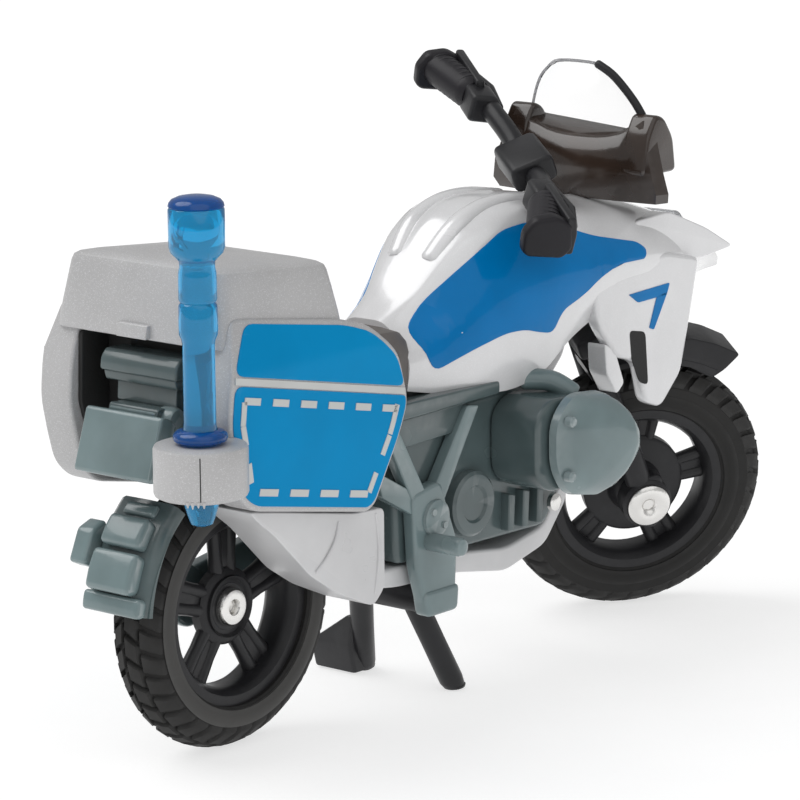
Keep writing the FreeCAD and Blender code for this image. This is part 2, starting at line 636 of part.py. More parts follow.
def make_stand():
    """A fork of two legs on a cross pin; a web on the left leg spreads into a tread for the heel."""
    pivot = Vector(SIZES["stand_pivot_x"], 0, SIZES["stand_pivot_z"])
    hub_half = 4.2
    hub_ends = (pivot - Vector(0, hub_half, 0), pivot + Vector(0, hub_half, 0))
    tools = [cylinder_between("stand_hub", *hub_ends, "1.1")]
    for name, top_y, foot_y in (("right", -2.9, "right_foot_y"), ("left", 2.3, "left_foot_y")):
        top = Vector(pivot.x, top_y, pivot.z)
        foot = Vector(SIZES["stand_foot_x"], SIZES[foot_y], 0)
        below_ground = foot + (foot - top) * 0.125
        tools.append(cylinder_between(f"stand_leg_{name}", top, below_ground, "Sizes.stand_leg_radius"))
    inner = SIZES["left_foot_y"] - 0.8
    outer = SIZES["tread_outer"]
    levels = [
        (0.0, 19.9, 22.5, inner, outer),
        (2.3, 19.3, 21.6, inner, outer),
        (5.1, 18.9, 20.3, inner - 0.7, inner + 0.1),
    ]
    for index, (low, high) in enumerate(zip(levels, levels[1:])):
        tools.append(web_between(f"stand_web_{index}", low, high))
    blank = doc.addObject("Part::MultiFuse", "stand_blank")
    blank.Shapes = tools
    below = doc.addObject("Part::Box", "stand_ground")
    below.Length = 20
    below.Width = 20
    below.Height = 5
    below.Placement.Base = Vector(12, -10, -5)
    bore_radius = "Sizes.stand_pin_radius + 0.05"
    reach = Vector(0, 8, 0)
    waste = doc.addObject("Part::MultiFuse", "stand_waste")
    waste.Shapes = [below, cylinder_between("stand_bore", pivot - reach, pivot + reach, bore_radius)]
    piece = doc.addObject("Part::Cut", "centre_stand")
    piece.Label = "centre_stand"
    piece.Base = blank
    piece.Tool = waste
    piece.Placement.Base = REAR_AXLE
    SUBPARTS.append(piece)
    pin_half = Vector(0, SIZES["engine_half"] + 1.5, 0)
    ends = (REAR_AXLE + pivot - pin_half, REAR_AXLE + pivot + pin_half)
    SUBPARTS.append(cylinder_between("stand_pin", *ends, "Sizes.stand_pin_radius"))


# ---------------------------------------------------------------- tail and luggage

def make_tail():
    """Lamp housing, number plate block and the mudguard behind the rear tyre."""
    lamp = [
        (-8.4, 29.0), (-7.2, 28.4), (-7.0, 27.2), (-8.9, 27.2),
        (-9.1, 26.7), (-5.65, 25.6), (-5.65, 30.6), (-8.0, 30.6),
    ]
    side_slab("tail_lamp", lamp, "Sizes.tail_lamp_half")
    plate = [(-9.9, 26.95), (-11.5, 22.3), (-9.9, 22.0), (-8.3, 26.0), (-9.0, 26.6)]
    side_slab("number_plate", plate, "Sizes.number_plate_half")
    centre_z = SIZES["rear_tyre_radius"]
    inside = SIZES["rear_tyre_radius"] + 0.45
    outside = SIZES["hugger_radius"]
    angles = [math.radians(a) for a in (129, 140, 151, 162, 171)]
    points = [(outside * math.cos(a), centre_z + outside * math.sin(a)) for a in angles]
    points += [(inside * math.cos(a), centre_z + inside * math.sin(a)) for a in reversed(angles)]
    piece = side_slab("rear_hugger", points, "Sizes.hugger_half")
    pad_out = outside + 0.8
    for first, last, half in ((137, 150, 2.0), (152, 166, 2.2)):
        lump = []
        sunk = outside - 0.3
        for angle, radius in ((first, sunk), (first, pad_out), (last, pad_out), (last, sunk)):
            turn_by = math.radians(angle)
            lump.append((radius * math.cos(turn_by), centre_z + radius * math.sin(turn_by)))
        pad(piece, add_outline(new_sketch(piece, "XZ_Plane"), lump), f"{2 * half}", symmetric=True)
    stay = [(-1.5, 9.6), (0.9, 9.2), (1.2, 12.3), (-8.0, 17.9), (-10.6, 15.2)]
    pad(piece, add_outline(new_sketch(piece, "XZ_Plane", "-2.7"), stay), "0.3")
    hole = add_circle(new_sketch(piece, "XZ_Plane"), (0, centre_z), "Sizes.axle_radius")
    cut(piece, hole, "Sizes.through_cut")
    box = [(-9.2, 18.4), (-10.6, 17.9), (-11.6, 15.6), (-10.4, 15.0), (-8.6, 17.0)]
    pad(piece, add_outline(new_sketch(piece, "XZ_Plane", "-4.3"), box), "1.5")


def make_luggage():
    """Top case and two panniers, moulded side by side and open at the back round the tail."""
    half = SIZES["top_case_half"]
    crown = SIZES["top_case_crown"]
    rim = [(-8.4, -half), (4.3, -half), (4.3, half), (-8.4, half)]
    lid = [(-7.3, -crown), (2.8, -crown), (2.8, crown), (-7.3, crown)]
    dome = [(-6.0, 1.6 - crown), (1.6, 1.6 - crown), (1.6, crown - 1.6), (-6.0, crown - 1.6)]
    slope = SIZES["lid_slope"]
    loft("top_case", [(31.8, rim), (36.75, lid), (37.25, dome)], "XY_Plane", tilts=(0.0, slope, slope))
    face = [
        (-7.4, 34.1), (4.0, 32.4), (6.7, 31.6), (9.5, 29.2), (10.4, 26.0), (10.4, 25.1), (9.4, 22.6),
        (7.1, 18.2), (6.2, 17.75), (-6.5, 20.2), (-8.0, 21.6), (-9.1, 26.6), (-8.8, 29.6),
    ]
    for side, name in ((-1, "right"), (1, "left")):
        piece = side_plate(f"pannier_{name}", face, "Sizes.pannier_inner", "Sizes.pannier_outer", side)
        doc.recompute()
        clear = [(-12.0, 31.75), (-12.0, 36.0), (6.0, 36.0), (6.0, 31.75)]
        cut(piece, add_outline(new_sketch(piece, "XZ_Plane"), clear), "2 * Sizes.top_case_half + 0.1")
        lean = [(side * 9.4, 30.2), (side * 9.8, 34.6), (side * 8.15, 34.6)]
        cut(piece, add_outline(new_sketch(piece, "YZ_Plane"), lean), "40")
    right = doc.getObject("pannier_right")
    ring_room = new_sketch(right, "XY_Plane", "Sizes.socket_bottom + Sizes.socket_height / 2")
    add_circle(ring_room, (SIZES["mast_x"], SIZES["mast_y"]), "Sizes.socket_radius")
    cut(right, ring_room, "Sizes.socket_height")


def make_light_mast():
    """A clear pole pushed through a ring at the right rear corner, with a flange and a lamp head."""
    foot = Vector(SIZES["mast_x"], SIZES["mast_y"], 0)
    shaft = SIZES["mast_radius"]
    steps = [
        (20.2, 0.75), (20.9, 1.22), (26.2, 1.22), (26.2, 1.92), (27.0, 1.92), (27.0, shaft), (33.3, shaft),
        (33.7, 1.34), (35.9, 1.34), (36.2, 1.25), (38.8, 1.25), (39.6, 1.95), (43.0, 2.0), (43.5, 1.5),
    ]
    piece = new_body("light_mast", foot)
    outline = [(0.0, steps[0][0])] + [(radius, height) for height, radius in steps] + [(0.0, steps[-1][0])]
    feature = turn(piece, add_outline(new_sketch(piece, "XZ_Plane"), outline))
    feature.ReferenceAxis = (feature.Profile[0], ["V_Axis"])
    ring = new_body("mast_socket", foot)
    sketch = add_circle(new_sketch(ring, "XY_Plane", "Sizes.socket_bottom"), (0, 0), "Sizes.socket_radius")
    add_circle(sketch, (0, 0), "1.22")
    pad(ring, sketch, "Sizes.socket_height")


make_wheels()
make_fork()
make_front_mudguard()
make_steering_stem()
make_handlebar()
make_body_shell()
make_headlight()
make_windscreen()
make_seat()
make_engine()
make_frame()
make_belly_pan()
make_silencer()
make_screws()
make_stand()
make_tail()
make_luggage()
make_light_mast()
doc.recompute()

for item in doc.Objects:
    if "Invalid" in item.State or "Error" in item.State:
        raise RuntimeError(f"{item.Name}: {item.State}")
os.makedirs("parts", exist_ok=True)
overall = FreeCAD.BoundBox()
for piece in SUBPARTS:
    shape = piece.Shape
    if shape.isNull() or not shape.isValid():
        raise RuntimeError(f"{piece.Label}: the shape isn't valid")
    overall.add(shape.BoundBox)
    shape.exportStep(f"parts/{piece.Label}.step")
    print(f"{piece.Label:22s} {len(shape.Solids)} solid  {shape.Volume:9.2f} mm3")
print("overall", overall)
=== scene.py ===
"""Looks of a pocket-size police touring motorcycle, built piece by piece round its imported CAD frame.

Sizes are in millimetres: x forward from the rear axle, y to the left of the mid-plane, z up from the ground.
"""
import json
import math

import bmesh
import bpy
from bpy.props import FloatProperty, FloatVectorProperty, IntProperty, PointerProperty
from mathutils import Matrix, Vector
from mathutils.bvhtree import BVHTree


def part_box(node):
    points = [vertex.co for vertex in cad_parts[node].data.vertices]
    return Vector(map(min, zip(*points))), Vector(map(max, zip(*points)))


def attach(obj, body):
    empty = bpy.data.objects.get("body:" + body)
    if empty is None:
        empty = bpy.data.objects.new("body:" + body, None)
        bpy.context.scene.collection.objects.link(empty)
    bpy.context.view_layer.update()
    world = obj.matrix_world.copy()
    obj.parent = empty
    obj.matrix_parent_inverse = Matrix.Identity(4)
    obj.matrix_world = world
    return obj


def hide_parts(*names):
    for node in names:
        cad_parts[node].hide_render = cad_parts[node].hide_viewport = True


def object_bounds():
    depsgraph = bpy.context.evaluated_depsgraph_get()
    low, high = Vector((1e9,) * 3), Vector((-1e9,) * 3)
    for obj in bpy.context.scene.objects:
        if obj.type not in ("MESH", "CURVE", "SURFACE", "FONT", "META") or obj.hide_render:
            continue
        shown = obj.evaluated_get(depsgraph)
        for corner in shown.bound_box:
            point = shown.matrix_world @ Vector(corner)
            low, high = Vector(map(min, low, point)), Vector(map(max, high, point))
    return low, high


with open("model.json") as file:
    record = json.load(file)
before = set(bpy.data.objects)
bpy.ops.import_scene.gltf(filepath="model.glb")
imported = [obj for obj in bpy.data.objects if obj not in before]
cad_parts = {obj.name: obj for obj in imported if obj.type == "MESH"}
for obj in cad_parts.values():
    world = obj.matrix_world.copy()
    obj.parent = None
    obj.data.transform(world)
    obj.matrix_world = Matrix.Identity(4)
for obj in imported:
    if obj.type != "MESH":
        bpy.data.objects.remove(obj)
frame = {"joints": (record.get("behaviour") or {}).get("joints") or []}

bl_info = {
    "name": "Police touring motorcycle toy",
    "version": (1, 0, 0),
    "blender": (4, 5, 0),
    "location": "3D View > Sidebar > Toy",
    "description": "Builds the looks of a small police touring motorcycle round its CAD frame",
    "category": "Object",
}

MM = 0.001
OWN = "toy_"  # The frame brings materials named like the slots, so the finishes here need names of their own.
SIDES = ((-1, "right"), (1, "left"))
STAND_PIVOT = (18.3, 0, 7.9)
BORE = 0.82
TYRE_SEAT = 7.28
CAD_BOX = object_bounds()
JOINTS = {joint["name"]: joint for joint in frame["joints"]}


def middle(node):
    low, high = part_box(node)
    return (low + high) / 2


REAR_WHEEL = middle("rear_tyre")
GROUND_POINT = Vector((REAR_WHEEL.x, REAR_WHEEL.y, 0.0))
BIKE = Matrix.Translation(GROUND_POINT) @ Matrix.Scale(MM, 4)
STEER_POINT = Vector(JOINTS["steering_turn"]["pos_m"])
STEER_AXIS = Vector(JOINTS["steering_turn"]["axis"])
WHEEL_AXIS = Vector(JOINTS["front_wheel_spin"]["axis"])
TURN_ANGLE = -WHEEL_AXIS.angle(Vector((0, 1, 0)))
STEERED = (
    Matrix.Translation(STEER_POINT)
    @ Matrix.Rotation(TURN_ANGLE, 4, STEER_AXIS)
    @ Matrix.Translation(-STEER_POINT)
    @ BIKE
)
RAKE = math.atan2(-STEER_AXIS.x, STEER_AXIS.z)


def in_bike(point):
    """A point of the frame, in millimetres from the rear axle's ground point."""
    return (Vector(point) - GROUND_POINT) / MM


REAR_AXLE = in_bike(REAR_WHEEL)
FRONT_AXLE = in_bike(STEER_POINT)


# ---------------------------------------------------------------- properties

class BikeSizes(bpy.types.PropertyGroup):
    tread_depth: FloatProperty(name="Tread depth", description="Height of the tread blocks, mm", default=0.42)
    tread_blocks: IntProperty(name="Tread blocks", description="Blocks round each tyre", default=34, min=8)
    case_edge: FloatProperty(name="Case edge", description="Edge radius of the cases, mm", default=0.3)
    border_width: FloatProperty(name="Border dashes", description="Width of the border dashes, mm", default=0.52)
    print_lift: FloatProperty(name="Print lift", description="Height of the prints, mm", default=0.07)
    screen_thickness: FloatProperty(name="Screen", description="Thickness of the windscreen, mm", default=0.4)


class BikeColours(bpy.types.PropertyGroup):
    silver: FloatVectorProperty(name="Silver enamel", description="Tank and panels", subtype="COLOR",
                                size=3, default=(0.74, 0.74, 0.75))
    mica: FloatVectorProperty(name="Metallic grey", description="Luggage plastic", subtype="COLOR",
                              size=3, default=(0.47, 0.467, 0.47))
    panel_blue: FloatVectorProperty(name="Panel blue", description="Prints on the cases", subtype="COLOR",
                                    size=3, default=(0.0, 0.26, 0.56))
    tank_blue: FloatVectorProperty(name="Tank blue", description="Prints on the tank", subtype="COLOR",
                                   size=3, default=(0.0, 0.175, 0.47))
    engine: FloatVectorProperty(name="Engine grey", description="Engine plastic", subtype="COLOR",
                                size=3, default=(0.155, 0.215, 0.222))
    black: FloatVectorProperty(name="Black", description="Bars, fork, rims and stand", subtype="COLOR",
                               size=3, default=(0.018, 0.018, 0.02))
    lamp_blue: FloatVectorProperty(name="Lamp blue", description="Clear mast", subtype="COLOR",
                                   size=3, default=(0.01, 0.42, 0.8))


def sizes():
    return bpy.context.scene.bike_sizes


def colours():
    return bpy.context.scene.bike_colours


# ---------------------------------------------------------------- shader groups and materials

def new_group(name, inputs, outputs):
    group = bpy.data.node_groups.new(name, "ShaderNodeTree")
    for label, default in inputs:
        socket = group.interface.new_socket(name=label, in_out="INPUT", socket_type="NodeSocketFloat")
        socket.default_value = default
    for label in outputs:
        group.interface.new_socket(name=label, in_out="OUTPUT", socket_type="NodeSocketFloat")
    entry = group.nodes.new("NodeGroupInput")
    leave = group.nodes.new("NodeGroupOutput")
    return group, entry, leave


def add_node(tree, kind, **settings):
    node = tree.nodes.new(kind)
    for key, value in settings.items():
        setattr(node, key, value)
    return node


def make_grain_group():
    """Colour drift and fine moulded texture: Tone runs 0 to 1, Height feeds a bump."""
    group, entry, leave = new_group(
        "Moulded Grain", [("Drift Scale", 180.0), ("Grain Scale", 4200.0)], ["Tone", "Height"])
    place = add_node(group, "ShaderNodeTexCoord")
    drift = add_node(group, "ShaderNodeTexNoise")
    drift.inputs["Detail"].default_value = 3.0
    grain = add_node(group, "ShaderNodeTexNoise")
    grain.inputs["Detail"].default_value = 2.0
    spread = add_node(group, "ShaderNodeMapRange")
    spread.inputs["From Min"].default_value = 0.3
    spread.inputs["From Max"].default_value = 0.7
    link = group.links.new
    link(place.outputs["Object"], drift.inputs["Vector"])
    link(place.outputs["Object"], grain.inputs["Vector"])
    link(entry.outputs["Drift Scale"], drift.inputs["Scale"])
    link(entry.outputs["Grain Scale"], grain.inputs["Scale"])
    link(drift.outputs["Fac"], spread.inputs["Value"])
    link(spread.outputs["Result"], leave.inputs["Tone"])
    link(grain.outputs["Fac"], leave.inputs["Height"])
    return group


def make_flake_group():
    """Metal flakes in plastic or paint: Sparkle is 1 on a flake, Height is a shallow cell texture."""
    group, entry, leave = new_group(
        "Metal Flake", [("Scale", 9000.0), ("Amount", 0.3)], ["Sparkle", "Height"])
    place = add_node(group, "ShaderNodeTexCoord")
    cells = add_node(group, "ShaderNodeTexVoronoi")
    split = add_node(group, "ShaderNodeSeparateColor")
    chosen = add_node(group, "ShaderNodeMath", operation="LESS_THAN")
    link = group.links.new
    link(place.outputs["Object"], cells.inputs["Vector"])
    link(entry.outputs["Scale"], cells.inputs["Scale"])
    link(cells.outputs["Color"], split.inputs["Color"])
    link(split.outputs["Red"], chosen.inputs[0])
    link(entry.outputs["Amount"], chosen.inputs[1])
    link(chosen.outputs["Value"], leave.inputs["Sparkle"])
    link(cells.outputs["Distance"], leave.inputs["Height"])
    return group


def make_edge_group():
    """Handling wear on outside edges, broken up by noise: Wear is 1 where the edge is rubbed."""
    group, entry, leave = new_group(
        "Edge Wear", [("Start", 0.53), ("End", 0.62), ("Break Up", 900.0)], ["Wear"])
    shape = add_node(group, "ShaderNodeNewGeometry")
    place = add_node(group, "ShaderNodeTexCoord")
    noise = add_node(group, "ShaderNodeTexNoise")
    edge = add_node(group, "ShaderNodeMapRange")
    both = add_node(group, "ShaderNodeMath", operation="MULTIPLY")
    link = group.links.new
    link(shape.outputs["Pointiness"], edge.inputs["Value"])
    link(entry.outputs["Start"], edge.inputs["From Min"])
    link(entry.outputs["End"], edge.inputs["From Max"])
    link(place.outputs["Object"], noise.inputs["Vector"])
    link(entry.outputs["Break Up"], noise.inputs["Scale"])
    link(edge.outputs["Result"], both.inputs[0])
    link(noise.outputs["Fac"], both.inputs[1])
    link(both.outputs["Value"], leave.inputs["Wear"])
    return group


def place_group(tree, group, **values):
    node = add_node(tree, "ShaderNodeGroup", node_tree=group)
    for key, value in values.items():
        node.inputs[key.replace("_", " ")].default_value = value
    return node


def mixed(tree, mask, under, over):
    """A colour mix; under and over are colours or sockets."""
    mix = add_node(tree, "ShaderNodeMix", data_type="RGBA")
    tree.links.new(mask, mix.inputs["Factor"])
    for socket, value in ((mix.inputs["A"], under), (mix.inputs["B"], over)):
        if isinstance(value, bpy.types.NodeSocket):
            tree.links.new(value, socket)
        else:
            socket.default_value = (*value, 1.0)
    return mix.outputs["Result"]


def new_material(name):
    material = bpy.data.materials.new(OWN + name)
    material.use_nodes = True
    return material, material.node_tree, material.node_tree.nodes["Principled BSDF"]


def dress(tree, surface, colour, roughness, tone, height, depth, strength):
    """Wire a colour, a lowest and highest roughness and a bump, its depth in mm, into a surface."""
    link = tree.links.new
    link(colour, surface.inputs["Base Color"])
    rough = add_node(tree, "ShaderNodeMapRange")
    rough.inputs["To Min"].default_value, rough.inputs["To Max"].default_value = roughness
    link(tone, rough.inputs["Value"])
    link(rough.outputs["Result"], surface.inputs["Roughness"])
    bump = add_node(tree, "ShaderNodeBump")
    bump.inputs["Distance"].default_value = depth * MM
    bump.inputs["Strength"].default_value = strength
    link(height, bump.inputs["Height"])
    link(bump.outputs["Normal"], surface.inputs["Normal"])


def make_finish(name, colour, roughness, drift=0.12, coat=0.0, metallic=0.0, grain=0.02, grain_scale=4200.0,
                flake=0.0, flake_scale=9000.0, flake_colour=(0.9, 0.9, 0.9), wear=0.4, specular=0.5):
    """An opaque finish: drifting colour, worn edges, moulded grain and, where it has them, metal flakes."""
    material, tree, surface = new_material(name)
    surface.inputs["Metallic"].default_value = metallic
    surface.inputs["Coat Weight"].default_value = coat
    surface.inputs["Coat Roughness"].default_value = 0.05
    surface.inputs["Specular IOR Level"].default_value = specular
    moulded = place_group(tree, bpy.data.node_groups["Moulded Grain"], Grain_Scale=grain_scale)
    worn = place_group(tree, bpy.data.node_groups["Edge Wear"])
    dark = [channel * (1 - drift) for channel in colour]
    light = [min(1.0, channel * (1 + drift)) for channel in colour]
    rubbed = [channel + (1 - channel) * 0.25 * wear for channel in colour]
    tint = mixed(tree, moulded.outputs["Tone"], dark, light)
    height = moulded.outputs["Height"]
    if flake:
        flakes = place_group(tree, bpy.data.node_groups["Metal Flake"], Scale=flake_scale, Amount=flake)
        tint = mixed(tree, flakes.outputs["Sparkle"], tint, flake_colour)
        height = flakes.outputs["Height"]
    dress(tree, surface, mixed(tree, worn.outputs["Wear"], tint, rubbed),
          (max(0.03, roughness - 0.06), roughness + 0.06),
          moulded.outputs["Tone"], height, grain, 0.6)
    return material


def make_clear(name, colour, roughness, ior, drift=0.1, clearness=1.0):
    """A clear moulded plastic whose tint drifts a little through the part."""
    tree, surface = new_material(name)[1:]
    surface.inputs["Transmission Weight"].default_value = clearness
    surface.inputs["IOR"].default_value = ior
    moulded = place_group(tree, bpy.data.node_groups["Moulded Grain"], Drift_Scale=260.0, Grain_Scale=1500.0)
    dark = [channel * (1 - drift) for channel in colour]
    dress(tree, surface, mixed(tree, moulded.outputs["Tone"], dark, colour), (roughness, roughness + 0.02),
          moulded.outputs["Tone"], moulded.outputs["Height"], 0.003, 0.3)


def make_materials():
    make_grain_group()
    make_flake_group()
    make_edge_group()
    tone = colours()
    make_finish("silver_enamel", tone.silver, 0.22, drift=0.05, coat=0.8, metallic=0.1, grain=0.002,
                flake=0.06, flake_scale=30000.0, flake_colour=(0.84, 0.84, 0.86))
    make_finish("silver_plastic", [channel * 0.86 for channel in tone.silver], 0.33, drift=0.07, metallic=0.1,
                grain=0.006)
    make_finish("metallic_grey_plastic", tone.mica, 0.42, drift=0.05, metallic=0.1, grain=0.006,
                flake=0.1, flake_scale=22000.0, flake_colour=(0.62, 0.62, 0.63))
    make_finish("panel_blue_print", tone.panel_blue, 0.38, drift=0.05, grain=0.008, wear=0.1, specular=0.06)
    make_finish("tank_blue_print", tone.tank_blue, 0.14, drift=0.08, coat=0.12, grain=0.004, wear=0.1, specular=0.1)
    make_finish("silver_print", (0.56, 0.57, 0.56), 0.4, drift=0.08, metallic=0.2, grain=0.02, wear=0.0)
    make_finish("engine_plastic", tone.engine, 0.23, drift=0.16, coat=0.35, grain=0.03, grain_scale=1400.0,
                wear=1.0)
    # The engine plastic at half its colour: painted shade on parts of the same plastic, not a different plastic.
    make_finish("engine_painted_shade", [channel * 0.5 for channel in tone.engine], 0.22, drift=0.2, coat=0.15, grain=0.01,
                grain_scale=1400.0, wear=0.4)
    make_finish("seat_plastic", (0.115, 0.102, 0.094), 0.62, drift=0.12, grain=0.04, grain_scale=3000.0)
    make_finish("black_plastic", tone.black, 0.36, drift=0.25, grain=0.02, grain_scale=1800.0, wear=0.08,
                specular=0.28)
    make_finish("grip_plastic", (0.014, 0.013, 0.016), 0.42, drift=0.25, grain=0.02, wear=0.06, specular=0.25)
    make_finish("tyre_rubber", (0.015, 0.0145, 0.014), 0.66, drift=0.3, grain=0.02, grain_scale=2600.0, wear=0.12,
                specular=0.3)
    # A lighter copy of the tyre rubber: painted highlight on the rear tyre's wall rings.
    make_finish("tyre_wall_painted_highlight", (0.05, 0.049, 0.047), 0.55, drift=0.18, grain=0.015, grain_scale=2600.0, wear=0.15,
                specular=0.3)
    make_finish("bright_steel", (0.8, 0.79, 0.77), 0.24, drift=0.1, metallic=1.0, grain=0.02)
    # Black for the ring's seam line, a real dark joint, and painted shade for the fairing duct patches and for the
    # rear frame between the cases.
    make_finish("seam_black_and_painted_shade", (0.012, 0.012, 0.012), 0.7, drift=0.2, grain=0.03, wear=0.0)
    make_clear("clear_blue_plastic", tone.lamp_blue, 0.0, 1.49, clearness=0.72)
    # A darker copy of the mast's clear blue: painted shade where the thick flange and the top of the lamp head look
    # darker.
    make_clear("blue_clear_painted_shade", (0.0, 0.13, 0.5), 0.0, 1.49, clearness=0.55)
    make_clear("bulb_clear", (0.25, 0.95, 1.0), 0.0, 1.08)
    make_clear("clear_plastic", (0.93, 0.95, 0.97), 0.02, 1.49)
    make_clear("screen_clear", (0.97, 0.97, 0.97), 0.01, 1.18, drift=0.02)
    make_clear("rim_clear", (0.6, 0.6, 0.62), 0.08, 1.49, clearness=0.6)
    make_finish("smoked_solid", (0.03, 0.019, 0.014), 0.18, drift=0.45, coat=0.3, grain=0.01, wear=0.2)


# ---------------------------------------------------------------- mesh helpers, all in bike millimetres

def curve_corner(before, corner, after, radius, steps):
    """Points that round one corner of an outline."""
    back = before - corner
    ahead = after - corner
    reach = min(radius, 0.45 * back.length, 0.45 * ahead.length)
    start = corner + back.normalized() * reach
    end = corner + ahead.normalized() * reach
    rounded = []
    for index in range(steps + 1):
        share = index / steps
        rounded.append((1 - share) ** 2 * start + 2 * share * (1 - share) * corner + share ** 2 * end)
    return rounded


def round_outline(points, radius, steps=4):
    corners = [Vector(point) for point in points]
    rounded = []
    for index, corner in enumerate(corners):
        after = corners[(index + 1) % len(corners)]
        rounded += curve_corner(corners[index - 1], corner, after, radius, steps)
    return rounded


def smooth_path(points, steps=6):
    """A Catmull-Rom curve through the points, which may have any number of coordinates."""
    points = [Vector(point) for point in points]
    ends = [points[0]] + points + [points[-1]]
    curve = []
    for p0, p1, p2, p3 in zip(ends, ends[1:], ends[2:], ends[3:]):
        for index in range(steps):
            t = index / steps
            curve.append(0.5 * (2 * p1 + (p2 - p0) * t + (2 * p0 - 5 * p1 + 4 * p2 - p3) * t * t
                                + (3 * p1 - p0 - 3 * p2 + p3) * t ** 3))
    return curve + [points[-1]]


def slab(outline, near, far, corner=0.5, edge=0.22, segments=3):
    """A side-view (x, z) outline between two y values, with rounded corners and edges."""
    flat = round_outline(outline, corner) if corner else [Vector(point) for point in outline]
    made = bmesh.new()
    near_rim = [made.verts.new((point.x, near, point.y)) for point in flat]
    far_rim = [made.verts.new((point.x, far, point.y)) for point in flat]
    made.faces.new(near_rim)
    made.faces.new(far_rim[::-1])
    for index in range(len(flat)):
        after = (index + 1) % len(flat)
        made.faces.new((near_rim[index], near_rim[after], far_rim[after], far_rim[index]))
    bmesh.ops.recalc_face_normals(made, faces=made.faces)
    if edge:
        rims = [e for e in made.edges if abs(e.verts[0].co.y - e.verts[1].co.y) < 1e-6]
        bmesh.ops.bevel(made, geom=rims, offset=edge, segments=segments, profile=0.5,
                        affect="EDGES", clamp_overlap=True)
    return made


def block(low, high, edge=0.2, corner=0.25):
    outline = [(low[0], low[2]), (high[0], low[2]), (high[0], high[2]), (low[0], high[2])]
    return slab(outline, low[1], high[1], corner=corner, edge=edge)


def loft(rings):
    """A skin through rings of points, each ring with the same number."""
    made = bmesh.new()
    rows = [[made.verts.new(point) for point in ring] for ring in rings]
    for row, after in zip(rows, rows[1:]):
        for index in range(len(row)):
            beside = (index + 1) % len(row)
            made.faces.new((row[index], row[beside], after[beside], after[index]))
    made.faces.new(rows[0][::-1])
    made.faces.new(rows[-1])
    bmesh.ops.recalc_face_normals(made, faces=made.faces)
    return made


def rod(points, radii, sides=16):
    """A solid round bar along the points; radii is one radius or one for each point."""
    path = [Vector(point) for point in points]
    if not isinstance(radii, (list, tuple)):
        radii = [radii] * len(path)
    rings = []
    across = Vector((0, 1, 0))
    if abs((path[-1] - path[0]).normalized().y) > 0.8:
        across = Vector((0, 0, 1))
    for index, point in enumerate(path):
        before = path[max(0, index - 1)]
        after = path[min(len(path) - 1, index + 1)]
        ahead = (after - before).normalized()
        side = (across - ahead * across.dot(ahead)).normalized()
        up = ahead.cross(side)
        ring = []
        for step in range(sides):
            angle = 2 * math.pi * step / sides
            offset = side * math.cos(angle) + up * math.sin(angle)
            ring.append(point + offset * radii[index])
        rings.append(ring)
    return loft(rings)


def capsule(points, radius, sides=16):
    """A rod whose ends are rounded over."""
    path = [Vector(point) for point in points]
    start_out = (path[0] - path[1]).normalized() * radius * 0.35
    end_out = (path[-1] - path[-2]).normalized() * radius * 0.35
    whole = [path[0] + start_out, path[0] + start_out * 0.6, path[0] - start_out * 0.3]
    whole += path[1:-1] + [path[-1] - end_out * 0.3, path[-1] + end_out * 0.6, path[-1] + end_out]
    scale = [0.45, 0.85, 1.0] + [1.0] * (len(path) - 2) + [1.0, 0.85, 0.45]
    return rod(whole, [radius * part for part in scale], sides)


def turned(profile, centre, along="y", steps=72):
    """A solid of revolution from (distance along the axis, radius) pairs, open in the middle if it's a ring."""
    centre = Vector(centre)
    closed = profile[0][1] > 1e-6
    made = bmesh.new()
    rows = []
    for distance, radius in profile:
        count = steps if radius > 1e-6 else 1
        row = []
        for step in range(count):
            angle = 2 * math.pi * step / steps
            a = radius * math.cos(angle)
            b = radius * math.sin(angle)
            offset = Vector((a, distance, b)) if along == "y" else Vector((a, b, distance))
            row.append(made.verts.new(centre + offset))
        rows.append(row)
    pairs = list(zip(rows, rows[1:]))
    if closed:
        pairs.append((rows[-1], rows[0]))
    for row, after in pairs:
        for step in range(steps):
            beside = (step + 1) % steps
            corners = []
            for vert in (row[step % len(row)], row[beside % len(row)],
                         after[beside % len(after)], after[step % len(after)]):
                if vert not in corners:
                    corners.append(vert)
            if len(corners) > 2:
                made.faces.new(corners)
    bmesh.ops.recalc_face_normals(made, faces=made.faces)
    return made


def gather(*parts):
    """Several meshes as one."""
    whole = bmesh.new()
    for part in parts:
        mesh = bpy.data.meshes.new("part")
        part.to_mesh(mesh)
        part.free()
        whole.from_mesh(mesh)
        bpy.data.meshes.remove(mesh)
    return whole


